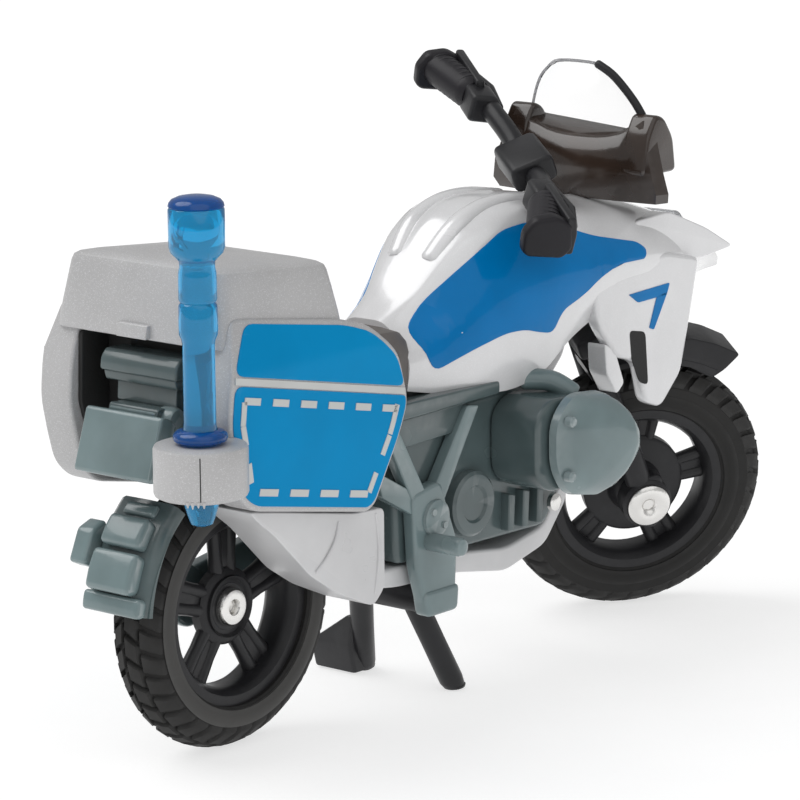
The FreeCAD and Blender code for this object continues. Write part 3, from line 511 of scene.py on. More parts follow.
def drape(outline, ground, side, lift, step=0.45):
    """A thin print of a side-view outline, laid on the side of a mesh from the right (-1) or left (1)."""
    flat = bmesh.new()
    face = flat.faces.new([flat.verts.new((x, 0, z)) for x, z in outline])
    bmesh.ops.triangulate(flat, faces=[face])
    for axis in (0, 2):
        spread = [vert.co[axis] for vert in flat.verts]
        count = int((max(spread) - min(spread)) / step)
        normal = Vector((1, 0, 0)) if axis == 0 else Vector((0, 0, 1))
        for index in range(1, count + 1):
            cut_at = normal * (min(spread) + index * step)
            everything = flat.verts[:] + flat.edges[:] + flat.faces[:]
            bmesh.ops.bisect_plane(flat, geom=everything, dist=1e-5, plane_co=cut_at, plane_no=normal)
    tree = BVHTree.FromBMesh(ground)
    toward = Vector((0, -side, 0))
    made = bmesh.new()
    outer = {}
    inner = {}
    for vert in flat.verts:
        hit = tree.ray_cast(Vector((vert.co.x, side * 40, vert.co.z)), toward)[0]
        if hit is None:
            raise RuntimeError(f"a print at x {vert.co.x:.1f}, z {vert.co.z:.1f} misses the surface")
        outer[vert] = made.verts.new(hit - toward * lift)
        inner[vert] = made.verts.new(hit + toward * lift)
    for face in flat.faces:
        made.faces.new([outer[vert] for vert in face.verts])
        made.faces.new([inner[vert] for vert in reversed(face.verts)])
    for edge in flat.edges:
        if edge.is_boundary:
            a, b = edge.verts
            made.faces.new((outer[a], outer[b], inner[b], inner[a]))
    flat.free()
    bmesh.ops.recalc_face_normals(made, faces=made.faces)
    return made


def span(side, near, far):
    """The y values of a part between two distances from the mid-plane on one side, lowest first."""
    return sorted((side * near, side * far))


def side_reach(node):
    """How near the mid-plane a CAD node starts and how far from it the node ends."""
    low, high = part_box(node)
    return sorted((abs(in_bike(low).y), abs(in_bike(high).y)))


def boss(side, profile, centre, steps):
    """A turned part on one side: its distances are measured from the mid-plane."""
    return turned([(side * distance, radius) for distance, radius in profile], centre, steps=steps)


def around(axle, degrees, radius):
    """The side-view (x, z) point at an angle and a distance round an axle."""
    angle = math.radians(degrees)
    return axle[0] + radius * math.cos(angle), axle[2] + radius * math.sin(angle)


def arch_ring(axle, degrees, profile):
    """A cross-section of (y, radius) pairs at an angle round an axle."""
    ring = []
    for y, radius in profile:
        x, z = around(axle, degrees, radius)
        ring.append((x, y, z))
    return ring


def placed(made, matrix):
    bmesh.ops.transform(made, matrix=matrix, verts=made.verts)
    return made


def on_rake(made, origin):
    """Stand an upright mesh on a point, leaning back with the fork."""
    return placed(made, Matrix.Translation(origin) @ Matrix.Rotation(-RAKE, 4, "Y"))


def above_floor(made, band=0.5):
    """Squeeze the lowest band of a mesh so that it ends at the floor."""
    low = min(vert.co.z for vert in made.verts)
    for vert in made.verts:
        if low < 0 and vert.co.z < band:
            vert.co.z = (vert.co.z - low) * band / (band - low)
    return made


def piece(name, made, body, slot, finish=None, replaces=(), sharp=38.0):
    """Turn a bike-millimetre mesh into a piece of the toy that rides on a body.

    Pieces that steer are drawn straight ahead and turned to the angle that the frame has.
    """
    placed(made, STEERED if body in ("steering", "front_wheel") else BIKE)
    mesh = bpy.data.meshes.new(name)
    made.to_mesh(mesh)
    made.free()
    for polygon in mesh.polygons:
        polygon.use_smooth = True
    mesh.set_sharp_from_angle(angle=math.radians(sharp))
    thing = bpy.data.objects.new(name, mesh)
    bpy.context.scene.collection.objects.link(thing)
    mesh.materials.append(bpy.data.materials[OWN + (finish or slot)])
    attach(thing, body)
    if replaces:
        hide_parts(*replaces)


# ---------------------------------------------------------------- luggage

PANNIER_SIDE = [
    (-7.4, 34.1), (4.0, 32.4), (6.7, 31.6), (9.5, 29.2), (10.4, 26.0), (10.4, 25.1), (9.4, 22.6), (7.1, 18.2),
    (6.2, 17.75), (-6.5, 20.2), (-8.0, 21.6), (-9.1, 26.6), (-8.8, 29.6),
]
UPPER_PANEL = [(-6.2, 33.6), (4.0, 32.0), (6.5, 31.2), (9.1, 29.0), (10.0, 26.6), (-8.3, 30.3)]
LOWER_PANEL = [
    (-8.35, 29.6), (10.05, 25.9), (10.05, 25.2), (9.1, 22.8), (6.85, 18.55), (6.1, 18.15), (-6.35, 20.6),
    (-7.75, 21.85), (-8.7, 26.6),
]
DIVIDER = [(-8.35, 30.2), (9.95, 26.5), (9.95, 26.0), (-8.4, 29.7)]
PANNIER_BACK = 6.2
BELT_LINE = 30.2
PANNIER_FOOT = 24.0
SHORTEST_DASHED_RUN = 1.4


def inset(points, distance):
    """The outline moved inwards by a distance, corner by corner."""
    corners = [Vector(point) for point in points]
    area = sum(a.x * b.y - b.x * a.y for a, b in zip(corners, corners[1:] + corners[:1]))
    inward = 1 if area > 0 else -1
    moved = []
    for index, corner in enumerate(corners):
        back = (corner - corners[index - 1]).normalized()
        ahead = (corners[(index + 1) % len(corners)] - corner).normalized()
        normal = Vector((-back.y - ahead.y, back.x + ahead.x)) * inward
        normal.normalize()
        share = max(0.5, normal.dot(Vector((-ahead.y, ahead.x)) * inward))
        moved.append(corner + normal * distance / share)
    return moved


def dashes(points, width, length=1.75, gap=1.25):
    """Short bars that follow a closed line: each is an outline of four points."""
    bars = []
    for start, end in zip(points, points[1:] + points[:1]):
        run = end - start
        if run.length < SHORTEST_DASHED_RUN:
            continue
        along = run.normalized()
        across = Vector((-along.y, along.x)) * width / 2
        count = max(1, round((run.length + gap) / (length + gap)))
        size = (run.length - gap * (count - 1)) / count * 0.96
        pitch = (run.length - size) / max(1, count - 1)
        for index in range(count):
            near = start + along * pitch * index
            far = near + along * size
            bars.append([near - across, far - across, far + across, near + across])
    return bars


def pannier_body(side):
    """A closed shell that leans in above its belt line and pulls in a little towards its foot."""
    outer = side_reach("pannier_right" if side < 0 else "pannier_left")[1]
    inner = PANNIER_BACK
    shell = slab(PANNIER_SIDE, *span(side, inner, outer), corner=1.0, edge=sizes().case_edge, segments=5)
    for height in (22.0, PANNIER_FOOT, 26.0, 28.0, 29.0, BELT_LINE, 31.5, 33.0):
        everything = shell.verts[:] + shell.edges[:] + shell.faces[:]
        bmesh.ops.bisect_plane(shell, geom=everything, dist=1e-5, plane_co=(0, 0, height), plane_no=(0, 0, 1))
    for vert in shell.verts:
        reach = (abs(vert.co.y) - inner) / (outer - inner)
        lean = max(0.0, vert.co.z - BELT_LINE) * 0.3 + max(0.0, PANNIER_FOOT - vert.co.z) * 0.06
        vert.co.y -= side * lean * max(0.0, reach)
    return shell


class TOY_OT_panniers(bpy.types.Operator):
    """Two side cases with their blue panels, dividing strips and dashed borders"""
    bl_idname = "toy.panniers"
    bl_label = "Side Cases"

    def execute(self, context):
        lift = sizes().print_lift
        for side, name in SIDES:
            shell = pannier_body(side)
            prints = []
            for part, outline in (("upper_panel", UPPER_PANEL), ("lower_panel", LOWER_PANEL)):
                panel = drape(round_outline(outline, 0.85), shell, side, lift)
                prints.append((part, panel, "panel_blue_print", "blue_paint"))
            border = inset(LOWER_PANEL, 1.0)
            bars = [drape(bar, shell, side, lift * 1.8) for bar in dashes(border, sizes().border_width)]
            prints.append(("border", gather(*bars), "silver_print", "silver_paint"))
            divider = drape(DIVIDER, shell, side, lift * 1.5)
            prints.append(("divider", divider, "silver_print", "silver_paint"))
            piece(f"pannier_{name}_shell", shell, "chassis", "metallic_grey_plastic",
                  replaces=[f"pannier_{name}"])
            for part, made, finish, slot in prints:
                piece(f"pannier_{name}_{part}", made, "chassis", slot, finish)
        return {"FINISHED"}


def case_ring(x_rear, x_front, half, z_rear, z_front, radius, lift=0.0):
    """A level-ish ring round the top case, its height running from the rear edge to the front one."""
    corners = [(x_rear, -half), (x_front, -half), (x_front, half), (x_rear, half)]
    ring = []
    for point in round_outline(corners, radius, steps=6):
        share = (point.x - x_rear) / (x_front - x_rear)
        bulge = lift * (1 - (point.y / half) ** 2)
        ring.append((point.x, point.y, z_rear + (z_front - z_rear) * share + bulge))
    return ring


class TOY_OT_top_case(bpy.types.Operator):
    """The top case: sloping sides, a domed lid with its rim, and the latch at the back"""
    bl_idname = "toy.top_case"
    bl_label = "Top Case"

    def execute(self, context):
        rings = [
            case_ring(-8.2, 4.6, 7.9, 31.85, 31.6, 0.9),
            case_ring(-8.45, 4.75, 8.12, 31.95, 31.8, 1.0),
            case_ring(-8.5, 4.8, 8.18, 32.3, 32.1, 1.1),
            case_ring(-8.4, 4.7, 8.1, 33.2, 32.9, 1.2),
            case_ring(-8.0, 4.35, 7.8, 35.4, 34.8, 1.25),
            case_ring(-7.75, 4.1, 7.6, 36.75, 35.95, 1.25),
            case_ring(-7.6, 3.95, 7.45, 37.15, 36.3, 1.2, 0.08),
            case_ring(-7.3, 3.65, 7.15, 37.35, 36.5, 1.2, 0.15),
            case_ring(-6.5, 2.9, 6.3, 37.5, 36.7, 1.3, 0.2),
            case_ring(-4.9, 1.3, 4.6, 37.62, 36.95, 1.3, 0.22),
            case_ring(-3.2, -0.4, 2.0, 37.7, 37.2, 0.8, 0.22),
        ]
        lid = loft(rings)
        latch = slab([(-9.0, 32.0), (-8.0, 32.0), (-7.9, 33.0), (-8.75, 33.0)], -1.35, 1.55, corner=0.12, edge=0.1)
        piece("top_case_shell", lid, "chassis", "metallic_grey_plastic", replaces=["top_case"], sharp=30)
        piece("top_case_latch", latch, "chassis", "metallic_grey_plastic")
        return {"FINISHED"}


# ---------------------------------------------------------------- light mast

class TOY_OT_light_mast(bpy.types.Operator):
    """The clear blue mast with its lamp head and inner bulb, and the ring that it is pushed through"""
    bl_idname = "toy.light_mast"
    bl_label = "Light Mast"

    def execute(self, context):
        low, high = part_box("mast_socket")
        foot = in_bike((low + high) / 2)
        base = in_bike(low).z
        top = in_bike(high).z
        outer = (in_bike(high).x - in_bike(low).x) / 2
        centre = (foot.x, foot.y, 0)
        mast = turned([
            (20.2, 0.0), (20.2, 0.55), (20.32, 0.78), (20.9, 1.0), (21.6, 1.2), (22.3, 1.22), (26.1, 1.22), (27.05,
                                                                                                             1.2),
            (27.4, 1.14), (33.0, 1.13),
            (33.4, 1.2), (33.75, 1.35), (34.1, 1.37), (35.75, 1.36), (35.9, 1.3), (36.0, 1.22), (36.1, 1.3),
            (36.25, 1.36), (38.1, 1.33), (38.5, 1.24), (38.9, 1.28), (39.2, 1.55), (39.5, 1.85), (39.9, 1.97),
            (42.5, 1.98), (42.62, 1.9), (42.62, 0.0),
        ], centre, along="z", steps=64)
        flange = turned([(26.14, 1.24), (26.16, 1.7), (26.3, 1.88), (26.5, 1.93), (26.75, 1.88), (26.95, 1.65),
                         (27.05, 1.24)], centre, along="z", steps=64)
        cap = turned([(42.64, 0.0), (42.64, 1.9), (42.72, 1.97), (42.95, 1.92), (43.2, 1.7), (43.4, 1.2),
                      (43.5, 0.5),
                      (43.5, 0.0)], centre, along="z", steps=64)
        bulb = turned([
            (38.3, 0.0), (38.3, 0.3), (39.2, 0.42), (39.9, 0.6), (40.5, 0.98), (41.1, 1.1), (41.6, 0.98), (42.0,
                                                                                                           0.55),
            (42.1, 0.0),
        ], centre, along="z", steps=40)
        ring = turned([
            (base, 1.24), (base, outer - 0.35), (base + 0.12, outer - 0.1), (base + 0.35, outer),
            (top - 0.3, outer), (top - 0.08, outer - 0.1), (top, outer - 0.32), (top, 1.24),
        ], centre, along="z", steps=88)
        seam_at = Vector((foot.x, foot.y, 0)) + Vector((math.cos(math.radians(222)), math.sin(math.radians(222)),
                                                        0)) * (
            outer - 0.01)
        seam = rod([seam_at + Vector((0, 0, base + 0.3)), seam_at + Vector((0, 0, top - 0.3))], 0.045, sides=8)
        flash = []
        for angle, size in ((206, 0.32), (212, 0.5), (219, 0.28), (226, 0.4)):
            turn_by = math.radians(angle)
            spot = Vector((foot.x + outer * math.cos(turn_by) * 0.97, foot.y + outer * math.sin(turn_by) * 0.97,
                           base))
            flash.append(rod([spot + Vector((0, 0, 0.25)), spot - Vector((0.05, 0.05, size * 0.4))],
                             [0.16, 0.04], sides=6))
        piece("mast_clear", mast, "chassis", "clear_blue_plastic", replaces=["light_mast"])
        piece("mast_bulb", bulb, "chassis", "clear_blue_plastic", "bulb_clear")
        # The flange and the cap are the same clear blue plastic as the mast, drawn darker as painted shade.
        piece("mast_flange", flange, "chassis", "clear_blue_plastic", "blue_clear_painted_shade")
        piece("mast_cap", cap, "chassis", "clear_blue_plastic", "blue_clear_painted_shade")
        piece("mast_ring", ring, "chassis", "metallic_grey_plastic", replaces=["mast_socket"])
        piece("mast_ring_seam", seam, "chassis", "metallic_grey_plastic", "seam_black_and_painted_shade")
        piece("mast_ring_flash", gather(*flash), "chassis", "metallic_grey_plastic")
        return {"FINISHED"}


# ---------------------------------------------------------------- tail

def hugger_ring(degrees, inner, outer, half):
    """A cross-section of the rear mudguard: an arch with walls."""
    wall = [(-half, inner), (-half, outer - 0.9), (-half + 0.25, outer - 0.35), (-half + 0.8, outer - 0.05)]
    return arch_ring(REAR_AXLE, degrees, wall + [(0.0, outer)] + [(-y, radius) for y, radius in wall[::-1]])


def raised_pad(first, last, inside, outside, half, edge=0.5):
    """A pillow-edged block on the mudguard between two angles round the axle."""
    corners = ((first, inside), (first, outside), ((first + last) / 2, outside + 0.06), (last, outside),
               (last, inside))
    outline = [around(REAR_AXLE, *corner) for corner in corners]
    return slab(outline, -half, half, corner=0.5, edge=edge, segments=5)


class TOY_OT_tail(bpy.types.Operator):
    """Tail lamp in layers, number plate block, and the rear mudguard with its raised pads"""
    bl_idname = "toy.tail"
    bl_label = "Tail"

    def execute(self, context):
        lamp = gather(
            slab([(-8.5, 29.2), (-5.7, 29.0), (-5.7, 30.7), (-7.9, 30.75), (-8.4, 30.1)], -3.75, 3.75, 0.3, 0.3, 4),
            slab([(-8.1, 28.5), (-5.7, 28.2), (-5.7, 29.1), (-8.3, 29.25)], -3.5, 3.5, 0.2, 0.25, 4),
            slab([(-7.6, 27.0), (-5.7, 26.4), (-5.7, 28.4), (-7.5, 28.5)], -2.9, 2.9, 0.2, 0.2),
            slab([(-8.9, 27.1), (-9.1, 26.5), (-5.7, 25.7), (-5.7, 26.9)], -2.4, 2.4, 0.2, 0.2),
        )
        arm = gather(
            slab([(-9.2, 26.9), (-8.5, 25.2), (-6.0, 24.6), (-6.0, 26.6)], -2.2, 2.2, 0.25, 0.22),
            capsule([(-7.7, -3.0, 26.2), (-7.7, -1.8, 26.2)], 0.95, sides=20),
        )
        plate = slab([(-9.95, 26.9), (-11.45, 22.35), (-9.85, 22.05), (-8.35, 26.1), (-9.0, 26.6)],
                     -3.75, 3.75, corner=0.35, edge=0.42, segments=5)
        inside = REAR_AXLE.z + 0.45
        arch = loft([hugger_ring(a, inside, 12.1 - 0.012 * (a - 128), 3.0) for a in range(129, 172, 3)])
        pads = gather(
            raised_pad(131, 136, 11.6, 12.3, 1.5),
            raised_pad(137.5, 148.5, 11.5, 12.9, 1.9),
            raised_pad(150, 164, 11.5, 12.85, 2.15),
        )
        skirt = raised_pad(164.5, 171.5, 11.1, 12.1, 2.75)
        box = slab([(-9.2, 18.4), (-10.6, 17.9), (-11.6, 15.6), (-10.4, 15.0), (-8.6, 17.0)], 2.7, 4.3, 0.3, 0.28, 4)
        stay = slab([(-1.5, 9.6), (0.9, 9.2), (1.2, 12.3), (-8.0, 17.9), (-10.6, 15.2)], 2.4, 2.7, 0.5, 0.1)
        # The lamp housing and the mudguard arch take the engine plastic at half colour as painted shade.
        piece("tail_lamp_housing", lamp, "chassis", "engine_plastic", "engine_painted_shade", replaces=["tail_lamp"])
        piece("number_plate_arm", arm, "chassis", "engine_plastic")
        piece("number_plate_block", plate, "chassis", "engine_plastic", replaces=["number_plate"])
        piece("hugger_arch", arch, "chassis", "engine_plastic", "engine_painted_shade", replaces=["rear_hugger"])
        piece("hugger_pads", pads, "chassis", "engine_plastic")
        piece("hugger_skirt", skirt, "chassis", "engine_plastic")
        piece("hugger_side_box", box, "chassis", "engine_plastic")
        piece("hugger_stay", stay, "chassis", "engine_plastic")
        return {"FINISHED"}


# ---------------------------------------------------------------- tank, seat and front

BODY_STATIONS = [
    # x, height of the middle, then half width and height of crown edge, shoulder, widest line, lower edge
    (16.6, 29.5, (1.5, 29.4), (2.8, 28.6), (4.2, 26.8), (4.0, 24.4)),
    (19.6, 31.4, (2.2, 31.1), (3.4, 29.6), (4.8, 27.4), (4.6, 23.8)),
    (22.2, 34.2, (3.0, 33.5), (4.1, 31.8), (5.5, 28.6), (4.9, 23.4)),
    (24.5, 36.3, (3.7, 35.2), (4.8, 33.4), (6.1, 29.6), (5.2, 23.1)),
    (27.5, 37.4, (4.1, 36.4), (5.3, 34.5), (6.7, 30.4), (5.5, 23.0)),
    (31.0, 37.5, (4.2, 36.6), (5.6, 34.8), (7.1, 30.8), (5.6, 23.7)),
    (35.0, 36.9, (4.2, 35.9), (5.7, 34.3), (7.2, 31.0), (5.6, 26.0)),
    (40.0, 36.0, (4.4, 35.0), (6.1, 33.3), (7.0, 31.0), (5.5, 27.6)),
    (45.0, 35.4, (4.2, 34.5), (5.7, 33.1), (6.6, 30.6), (5.4, 27.8)),
    (51.0, 33.6, (3.2, 32.9), (4.4, 31.8), (5.2, 29.6), (3.9, 27.5)),
    (57.0, 30.7, (1.5, 30.3), (2.0, 29.8), (2.4, 28.8), (1.6, 27.5)),
    (61.0, 28.6, (0.45, 28.45), (0.6, 28.25), (0.7, 28.0), (0.6, 27.4)),
]


def body_section(values):
    """A closed ring across the body from one flat list of station values."""
    top = values[0]
    pairs = [(values[index], values[index + 1]) for index in range(1, len(values), 2)]
    right = [Vector((0.0, top))] + [Vector(pair) for pair in pairs]
    crown = smooth_path(right[:3], steps=4)
    side = smooth_path(right[1:], steps=4)[4:]
    half = crown + side[1:] + [Vector((side[-1].x * 0.55, side[-1].y - 0.15)), Vector((0.0, side[-1].y - 0.2))]
    return [(-point.x, point.y) for point in half] + [(point.x, point.y) for point in half[-2:0:-1]]


def body_surface():
    stations = []
    for x, top, *profile in BODY_STATIONS:
        flat = [x, top]
        for half_width, height in profile:
            flat += [half_width, height]
        stations.append(flat)
    rings = []
    for values in smooth_path(stations, steps=4):
        x = values[0]
        rings.append([(x, y, z) for y, z in body_section(list(values)[1:])])
    return loft(rings)


TANK_BLUE = [
    (18.9, 25.6), (17.5, 28.7), (19.5, 30.4), (21.8, 32.2), (24.2, 33.9), (26.9, 35.4), (29.7, 35.7), (33.0, 35.1),
    (37.0, 33.7),
    (42.0, 32.6), (43.0, 31.9), (42.6, 31.2), (38.8, 31.3), (36.6, 30.6), (34.4, 29.4), (32.0, 28.6), (31.3, 26.9),
    (29.6, 27.2), (27.8, 27.7), (25.8, 27.7), (22.9, 26.9),
]


class TOY_OT_body(bpy.types.Operator):
    """The cast body with its crown ridges, its front cheeks and the blue prints on both flanks"""
    bl_idname = "toy.body"
    bl_label = "Tank and Panels"

    def execute(self, context):
        surface = body_surface()
        blue = []
        for side in (-1, 1):
            blue.append(drape(round_outline(TANK_BLUE, 0.9, steps=4), surface, side, sizes().print_lift, step=0.7))
        ridges = []
        for side in (-1, 1):
            line = [(22.4, side * 1.6, 33.2), (24.6, side * 2.0, 35.3), (27.5, side * 2.1, 36.4),
                    (31.0, side * 2.1, 36.6), (35.0, side * 1.9, 36.0)]
            ridges.append(capsule(smooth_path(line), 0.95, sides=20))
        brow = []
        for side in (-1, 1):
            outline = [(42.8, 34.0), (47.5, 34.2), (52.6, 32.2), (56.4, 30.2), (52.0, 29.8), (46.0, 30.4)]
            brow.append(slab(outline, *span(side, 4.0, 5.6), corner=0.8, edge=0.45, segments=4))
        piece("body_casting", surface, "chassis", "silver_enamel", replaces=["body_shell"], sharp=28)
        piece("tank_blue", gather(*blue), "chassis", "blue_paint", "tank_blue_print")
        piece("tank_ridges", gather(*ridges), "chassis", "silver_enamel")
        piece("front_cheeks", gather(*brow), "chassis", "silver_enamel")
        return {"FINISHED"}


class TOY_OT_side_fairings(bpy.types.Operator):
    """The fairing panels beside the fork, their struts, black patches of painted shade for ducts, and small blue
    flashes
    """
    bl_idname = "toy.side_fairings"
    bl_label = "Side Fairings"

    def execute(self, context):
        outer_line = [
            (36.4, 30.4), (36.9, 26.6), (39.4, 23.6), (41.0, 23.2), (42.3, 22.6), (43.2, 19.4), (45.3, 18.6),
            (48.0, 21.1), (48.9, 24.3), (50.4, 30.2), (46.0, 31.2), (40.0, 31.2),
        ]
        strokes = ([(40.8, 28.5), (46.2, 28.7), (45.8, 27.8), (42.0, 27.7)],
                   [(45.9, 28.0), (44.5, 27.8), (43.5, 25.4), (44.1, 25.2)])
        strut = [(38.0, 25.0), (39.4, 24.2), (40.6, 21.4), (39.6, 20.6), (38.2, 22.6)]
        duct = [(40.9, 25.6), (43.0, 25.2), (43.4, 20.8), (42.2, 21.2), (41.2, 23.2)]
        for side, name in SIDES:
            inner, outer = side_reach(f"side_fairing_{name}")
            panel = slab(outer_line, *span(side, inner, outer), corner=0.7, edge=0.4, segments=4)
            lift = sizes().print_lift
            mark = gather(*[drape(round_outline(stroke, 0.15, 2), panel, side, lift) for stroke in strokes])
            # A thin black patch on the panel's face: painted shade standing for a duct opening.
            hole = slab(duct, *span(side, outer - 0.02, outer + 0.03), 0.5, 0.0)
            rib = slab(strut, *span(side, 4.6, 6.4), corner=0.4, edge=0.3, segments=4)
            piece(f"fairing_{name}", panel, "chassis", "silver_enamel", replaces=[f"side_fairing_{name}"])
            piece(f"fairing_{name}_flash", mark, "chassis", "blue_paint", "tank_blue_print")
            piece(f"fairing_{name}_duct", hole, "chassis", "silver_enamel", "seam_black_and_painted_shade")
            piece(f"fairing_{name}_strut", rib, "chassis", "silver_enamel")
        return {"FINISHED"}


class TOY_OT_seat(bpy.types.Operator):
    """The saddle, dished between the cases and the tank, with a seam round its edge"""
    bl_idname = "toy.seat"
    bl_label = "Seat"

    def execute(self, context):
        rings = []
        stations = [(4.8, 5.0, 30.1), (6.0, 5.0, 30.3), (9.0, 5.0, 29.9), (12.0, 4.9, 29.5), (15.0, 4.6, 29.3),
                    (16.8, 4.0, 28.9), (17.8, 3.2, 27.9)]
        for x, half, top in smooth_path(stations, steps=3):
            ring = []
            profile = [(-half, 25.0), (-half, top - 1.5), (-half + 0.25, top - 0.7), (-half + 0.9, top - 0.15),
                       (-half * 0.4, top + 0.02), (0.0, top + 0.05)]
            mirrored = [(-y, z) for y, z in profile[-2::-1]]
            for y, z in profile + mirrored:
                ring.append((x, y, z))
            rings.append(ring)
        saddle = loft(rings)
        seams = []
        for side in (-1, 1):
            line = [(5.2, side * 5.0, 28.6), (9.0, side * 5.0, 28.3), (12.0, side * 4.92, 27.9),
                    (15.0, side * 4.6, 27.7)]
            seams.append(rod(smooth_path(line), 0.09, sides=8))
        piece("saddle", saddle, "chassis", "seat_plastic", replaces=["seat"], sharp=32)
        piece("saddle_seam", gather(*seams), "chassis", "seat_plastic")
        return {"FINISHED"}


class TOY_OT_headlight(bpy.types.Operator):
    """The clear lamp block with two reflector bowls behind its face"""
    bl_idname = "toy.headlight"
    bl_label = "Headlight"

    def execute(self, context):
        lens = slab([(51.45, 30.45), (55.4, 30.45), (55.0, 31.4), (53.2, 33.2), (51.45, 33.4)], -2.4, 2.4, 0.35,
                    0.25, 4)
        bowls = []
        for side in (-1, 1):
            bowl = turned([(-0.2, 0.0), (-0.2, 0.3), (0.3, 0.75), (0.3, 0.85), (-0.4, 0.5), (-0.4, 0.0)],
                          (0, 0, 0), along="z", steps=32)
            tilt = Matrix.Translation((52.4, side * 1.15, 31.6)) @ Matrix.Rotation(math.radians(90), 4, "Y")
            bowls.append(placed(bowl, tilt))
        piece("headlight_lens", lens, "chassis", "clear_plastic", replaces=["headlight"])
        piece("headlight_bowls", gather(*bowls), "chassis", "bright_steel")
        return {"FINISHED"}


def screen_row(z, half, x_middle, sweep, thickness):
    """One level of the windscreen: an arc across, front face then back face."""
    ring = []
    for step in range(13):
        share = step / 6 - 1
        ring.append((x_middle - sweep * share * share, share * half, z))
    back = [(x - thickness, y * 0.985, z) for x, y, z in reversed(ring)]
    return ring + back


class TOY_OT_windscreen(bpy.types.Operator):
    """The clear screen, its rim and dark edge strip, and the thick dark base with its two posts"""
    bl_idname = "toy.windscreen"
    bl_label = "Windscreen"

    def execute(self, context):
        thick = sizes().screen_thickness
        rows = [(38.2, 6.1, 46.9, 1.5), (40.0, 5.95, 46.3, 1.35), (41.6, 5.75, 45.6, 1.2), (43.2, 5.1, 44.9, 1.0),
                (44.6, 4.2, 44.2, 0.8), (45.6, 3.2, 43.7, 0.55), (46.3, 1.9, 43.35, 0.3)]
        screen = loft([screen_row(z, half, x, sweep, thick) for z, half, x, sweep in smooth_path(rows, steps=3)])
        edge = []
        for z, half, x, sweep in rows[1:]:
            edge.append((x - sweep - thick / 2, -half, z))
        strip = capsule(smooth_path(edge, steps=4), 0.34, sides=10)
        around = [(x, -y, z) for x, y, z in edge] + edge[:-3:-1]
        rim = rod(smooth_path(around, steps=4), 0.13, sides=8)
        base_rows = []
        for z, half, front, rear in ((35.6, 8.2, 48.2, 42.6), (36.4, 8.55, 48.6, 42.2), (38.0, 8.2, 48.4, 42.0),
                                     (39.3, 7.4, 47.9, 42.3), (40.3, 6.6, 47.2, 42.9), (40.6, 6.2, 46.8, 43.4)):
            ring = []
            for step in range(13):
                share = step / 6 - 1
                ring.append((front - (front - rear - 1.2) * share * share, share * half, z))
            for step in range(13):
                share = 1 - step / 6
                ring.append((rear - 0.6 + 0.6 * share * share, share * half * 0.96, z))
            base_rows.append(ring)
        base = loft(base_rows)
        for vert in base.verts:
            vert.co.z += 2.0 * min(1.0, abs(vert.co.y) / 6.6) ** 3 * max(0.0, min(1.0, (vert.co.z - 38.6) / 1.6))
        peaks = []
        for side in (-1, 1):
            post = [(41.6, 37.8), (46.2, 37.8), (45.8, 40.6), (44.6, 42.3), (43.4, 42.6), (42.4, 41.0)]
            peaks.append(slab(post, *span(side, 4.9, 7.3), corner=0.6, edge=0.5, segments=4))
        piece("screen_sheet", screen, "chassis", "smoked_plastic", "screen_clear", replaces=["windscreen"])
        piece("screen_rim", rim, "chassis", "smoked_plastic", "rim_clear")
        piece("screen_edge_strip", strip, "chassis", "smoked_plastic", "black_plastic")
        piece("screen_base", base, "chassis", "smoked_plastic", "smoked_solid")
        piece("screen_posts", gather(*peaks), "chassis", "smoked_plastic", "smoked_solid")
        return {"FINISHED"}


# ---------------------------------------------------------------- wheels

def rim_mesh(centre, half, hub_half, disc):
    """A cast rim: a stepped barrel, a hub, a disc round it, and five pairs of spokes with a web between each."""
    barrel = turned([
        (-half, TYRE_SEAT), (-half, 6.55), (-half + 0.35, 6.25), (-0.9, 6.0), (0.9, 6.0), (half - 0.35, 6.25),
        (half, 6.55), (half, TYRE_SEAT),
    ], centre, steps=80)
    hub = turned([
        (-hub_half, BORE), (-hub_half, 1.75), (-hub_half + 0.2, 1.95), (-0.9, 2.3), (0.9, 2.3),
        (hub_half - 0.2, 1.95), (hub_half, 1.75), (hub_half, BORE),
    ], centre, steps=48)
    spokes = []
    for index in range(5):
        heading = 72 * index + 18
        for lean in (-1, 1):
            start, end = (Vector(arch_ring(centre, heading + lean * degrees, [(centre[1], radius)])[0])
                          for degrees, radius in ((19, 1.9), (8, 6.2)))
            spokes.append(rod([start, (start + end) / 2, end], [0.62, 0.52, 0.6], sides=10))
        web = [around(centre, heading + degrees, radius)
               for degrees, radius in ((-9, 2.6), (-7.5, 6.1), (7.5, 6.1), (9, 2.6))]
        spokes.append(slab(web, centre[1] - 0.3, centre[1] + 0.3, corner=0.1, edge=0.08))
    plate = turned([(-0.62, BORE), (-0.62, disc - 0.3), (-0.4, disc), (0.4, disc), (0.62, disc - 0.3), (0.62, BORE)],
                   centre, steps=64)
    return gather(barrel, hub, plate, *spokes)


def tyre_radius_at(y, radius, half, drop):
    return radius - drop * (abs(y) / half) ** 2.2


